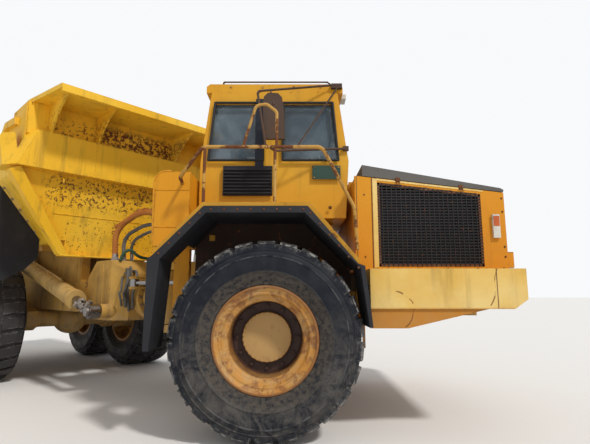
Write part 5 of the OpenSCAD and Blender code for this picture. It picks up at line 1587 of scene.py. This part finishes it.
bm = bmesh.new()
for side in (-1, 1):
    for at, radius in ((0.562, 0.129), (0.590, 0.131), (0.655, 0.122)):
        rod(bm, on_side(foot + along * at, side), on_side(foot + along * (at + 0.020), side),
            radius, 40)
    a = foot + along * 1.15 + up * 0.112
    b = foot + along * 2.95 + up * 0.112
    tube(bm, [on_side(p, side) for p in (a - up * 0.04, a + up * 0.02, b + up * 0.02,
                                         b - up * 0.04)], 0.014, 8, 0.03, 3)
    for at in (1.7, 2.4):
        clip = on_side(foot + along * at + up * 0.125, side)
        block(bm, clip - Vector((0.02, 0.03, 0.03)), clip + Vector((0.02, 0.03, 0.022)), 0.004)
finish("hoist_pipes", bm, hoist_paint, "hoist_barrels", rear_unit)

bm = bmesh.new()
for side in (-1, 1):
    for v in (0.745, 0.762):
        rod(bm, (foot.x, v * side, foot.z), (foot.x, (v + 0.014) * side, foot.z), 0.056, 24)
finish("hoist_washers", bm, bare_steel, "rear", rear_unit)
print("hoists are", round((top - foot).length, 2), "m between their pins")

# %% [markdown]
# ## Torn boots
# Strips of an old rubber boot still hang at the foot of each hoist. Every strip is one row of
# grid faces, wound round the rod with a radius and a width that wander, and Solidify gives it
# the thickness of rubber sheet.

# %% Torn boots
BOOT_STRIPS, BOOT_STEPS = 7, 14
BOOT_PITCH = 0.045
BOOT_R = 0.066
BOOT_T = 0.005


def torn_boot(bm, side, seed):
    """Strips of perished rubber, wound loosely round the rod near its foot."""
    pick = random.Random(seed)
    across = Vector((0, 1, 0))
    lift = along.cross(across).normalized()
    for strip in range(BOOT_STRIPS):
        at = 0.13 + strip * BOOT_PITCH
        turn = pick.uniform(0, 6.3)
        grid = bmesh.ops.create_grid(bm, x_segments=BOOT_STEPS, y_segments=1, size=1)["verts"]
        row = len(grid) // 2
        for i in range(row):
            a = turn + i / BOOT_STEPS * pick.uniform(4.0, 5.4)
            radius = BOOT_R + 0.020 * math.sin(3 * a + strip) + pick.uniform(0, 0.014)
            centre = foot + along * (at + 0.012 * math.sin(2 * a))
            spot = centre + across * (radius * math.cos(a)) + lift * (radius * math.sin(a))
            wide = along * (0.030 + 0.014 * math.sin(5 * a + seed))
            grid[i].co = on_side(spot - wide, side)
            grid[i + row].co = on_side(spot + wide, side)


bm = bmesh.new()
torn_boot(bm, -1, 3)
torn_boot(bm, 1, 8)
boots = finish("torn_boots", bm, old_rubber, "hoist_rods", rear_unit)
thick = boots.modifiers.new("thick", "SOLIDIFY")
thick.thickness = BOOT_T
print("body and hoists dressed")

# %% [markdown]
# ## A post for the hoses
# Hydraulic hoses cross from the tractor to the rear unit. A swivel post on the steering pin
# takes them half way, because it turns with the hitch: a bolted flange, a tube, and a block
# in which the hoses end.

# %% Hose post
def at_rear(u, v, z):
    """A point of the rear unit in the tractor's directions."""
    return tractor.inverted() @ rear_unit @ Vector((u, v, z))


PIN_X = -1.300
POST_FOOT, POST_FLANGE, POST_TOP = 1.668, 1.700, 1.900

bm = bmesh.new()
rod(bm, (PIN_X, 0, POST_FOOT), (PIN_X, 0, POST_FLANGE), 0.085, 24)
rod(bm, (PIN_X, 0, POST_FLANGE), (PIN_X, 0, POST_TOP), 0.034, 16)
block(bm, (PIN_X - 0.05, -0.17, POST_TOP - 0.09), (PIN_X + 0.05, 0.17, POST_TOP), 0.006)
for a in around(6):
    spot = (PIN_X + 0.066 * math.cos(a), 0.066 * math.sin(a), POST_FLANGE)
    bolt_head(bm, spot, (0, 0, 1), 0.009)
finish("hose_post", bm, frame_paint, "hitch", tractor)
print("post", round(POST_TOP - POST_FOOT, 3), "m high")

# %% [markdown]
# ## Hoses over the hitch
# Each hose is fixed at both ends and bends in between, so it is left on no body and stays where
# it was built. The thickest one is corrugated: rings a little wider than the
# hose follow each straight run of its route. Steel collars hold every end.

# %% Hitch hoses
def hose(name, points, radius, material, corrugated=False):
    """A tube through the points, left on no body and fixed where it is built."""
    bm = bmesh.new()
    tube(bm, points, radius, 12, 0.22, 10)
    if corrugated:
        for start, end in zip(points, points[1:]):
            half = (end - start).normalized() * radius * 0.16
            rings = int((end - start).length / (radius * 0.9))
            for i in range(1, rings):
                middle = start.lerp(end, i / rings)
                rod(bm, middle - half, middle + half, radius * 1.12, 12)
    piece = finish(name, bm, material, None, tractor)
    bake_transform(piece)


def collar(bm, at, direction, radius):
    """A hexagon and a sleeve at the end of a hose."""
    at, direction = Vector(at), Vector(direction).normalized()
    rod(bm, at - direction * 0.01, at + direction * 0.045, radius * 1.25, 6)
    rod(bm, at + direction * 0.045, at + direction * 0.085, radius * 1.1, 12)


FRAME_TOP, TRACTOR_TOP = 1.722, 1.672
rear_hoses = ((-0.40, -0.72, 2.36, 0.036, hose_orange), (-0.30, -0.68, 2.20, 0.024, hose_grey),
              (-0.20, -0.66, 2.12, 0.020, hose_grey), (0.20, -0.68, 2.10, 0.020, hose_black))
front_hoses = ((-0.22, 2.02, 0.026, hose_green), (-0.10, 1.99, 0.020, hose_black),
               (0.08, 2.03, 0.020, hose_grey), (0.20, 1.98, 0.020, hose_black))
rear_fittings, post_fittings, tractor_fittings = bmesh.new(), bmesh.new(), bmesh.new()

for i, (v, u, peak, radius, rubber) in enumerate(rear_hoses):
    low = at_rear(u, v, FRAME_TOP)
    high = Vector((PIN_X - 0.02, -0.14 + i * 0.09, POST_TOP))
    middle = low.lerp(high, 0.5)
    route = [high, high + Vector((-0.05, 0, (peak - POST_TOP) * 0.75)),
             Vector((middle.x, middle.y, peak)),
             low + Vector((-0.02, 0, (peak - FRAME_TOP + 0.002) * 0.65)), low]
    hose(f"hose_rear_{i}", route, radius, rubber, corrugated=i == 0)
    collar(rear_fittings, low, (0, 0, 1), radius)
    collar(post_fittings, high, (0, 0, 1), radius)
for i, (y, peak, radius, rubber) in enumerate(front_hoses):
    start = Vector((-0.940, y, TRACTOR_TOP))
    end = Vector((PIN_X + 0.048, y * 0.6, POST_TOP - 0.045))
    route = [start, start + Vector((0.01, 0, peak - 1.75)), Vector((-1.06, y * 0.8, peak)),
             end + Vector((0.10, 0, 0.06)), end]
    hose(f"hose_front_{i}", route, radius, rubber)
    collar(tractor_fittings, start, (0, 0, 1), radius)
    collar(post_fittings, end, (1, 0, 0), radius)
finish("rear_fittings", rear_fittings, bare_steel, "rear", tractor)
finish("post_fittings", post_fittings, bare_steel, "hitch", tractor)
finish("tractor_fittings", tractor_fittings, bare_steel, "tractor", tractor)
print("hoses over the hitch", len(rear_hoses) + len(front_hoses))

# %% [markdown]
# ## Hoses on the rear frame
# These hoses don't cross a joint, so they simply ride on the rear frame. A green one lies
# over the box from side to side, and a tangle of grey ones hangs down its front corner, each
# from its own height, bulging forward by its own amount.

# %% Frame hoses
green_route = [(-0.60, -0.38, 1.712), (-0.60, -0.36, 1.80), (-0.58, -0.27, 1.875),
               (-0.56, -0.15, 1.765), (-0.56, 0.02, 1.755), (-0.60, 0.09, 1.712)]
grey_hoses = ((-0.33, 1.60, 0.14, 1.12, 0.020), (-0.28, 1.63, 0.10, 1.05, 0.016),
              (-0.36, 1.55, 0.19, 1.20, 0.014), (-0.25, 1.58, 0.21, 1.08, 0.017),
              (-0.38, 1.50, 0.08, 1.14, 0.013))

bm = bmesh.new()
tube(bm, green_route, 0.020, 10, 0.08, 6)
finish("frame_hose_green", bm, hose_green, "rear", rear_unit)

bm = bmesh.new()
for v, top_z, bulge, low_z, radius in grey_hoses:
    tube(bm, [(-0.515, v, top_z), (-0.500 + bulge, v - 0.05, top_z - 0.01),
              (-0.460 + bulge, v - 0.07, top_z - 0.17), (-0.440 + bulge * 0.6, v - 0.09, 1.30),
              (-0.420 + bulge * 0.4, v - 0.06, low_z + 0.05), (-0.500, v, low_z)],
         radius, 8, 0.09, 6)
finish("frame_hoses", bm, hose_grey, "rear", rear_unit)
print("hoses on the frame", 1 + len(grey_hoses))
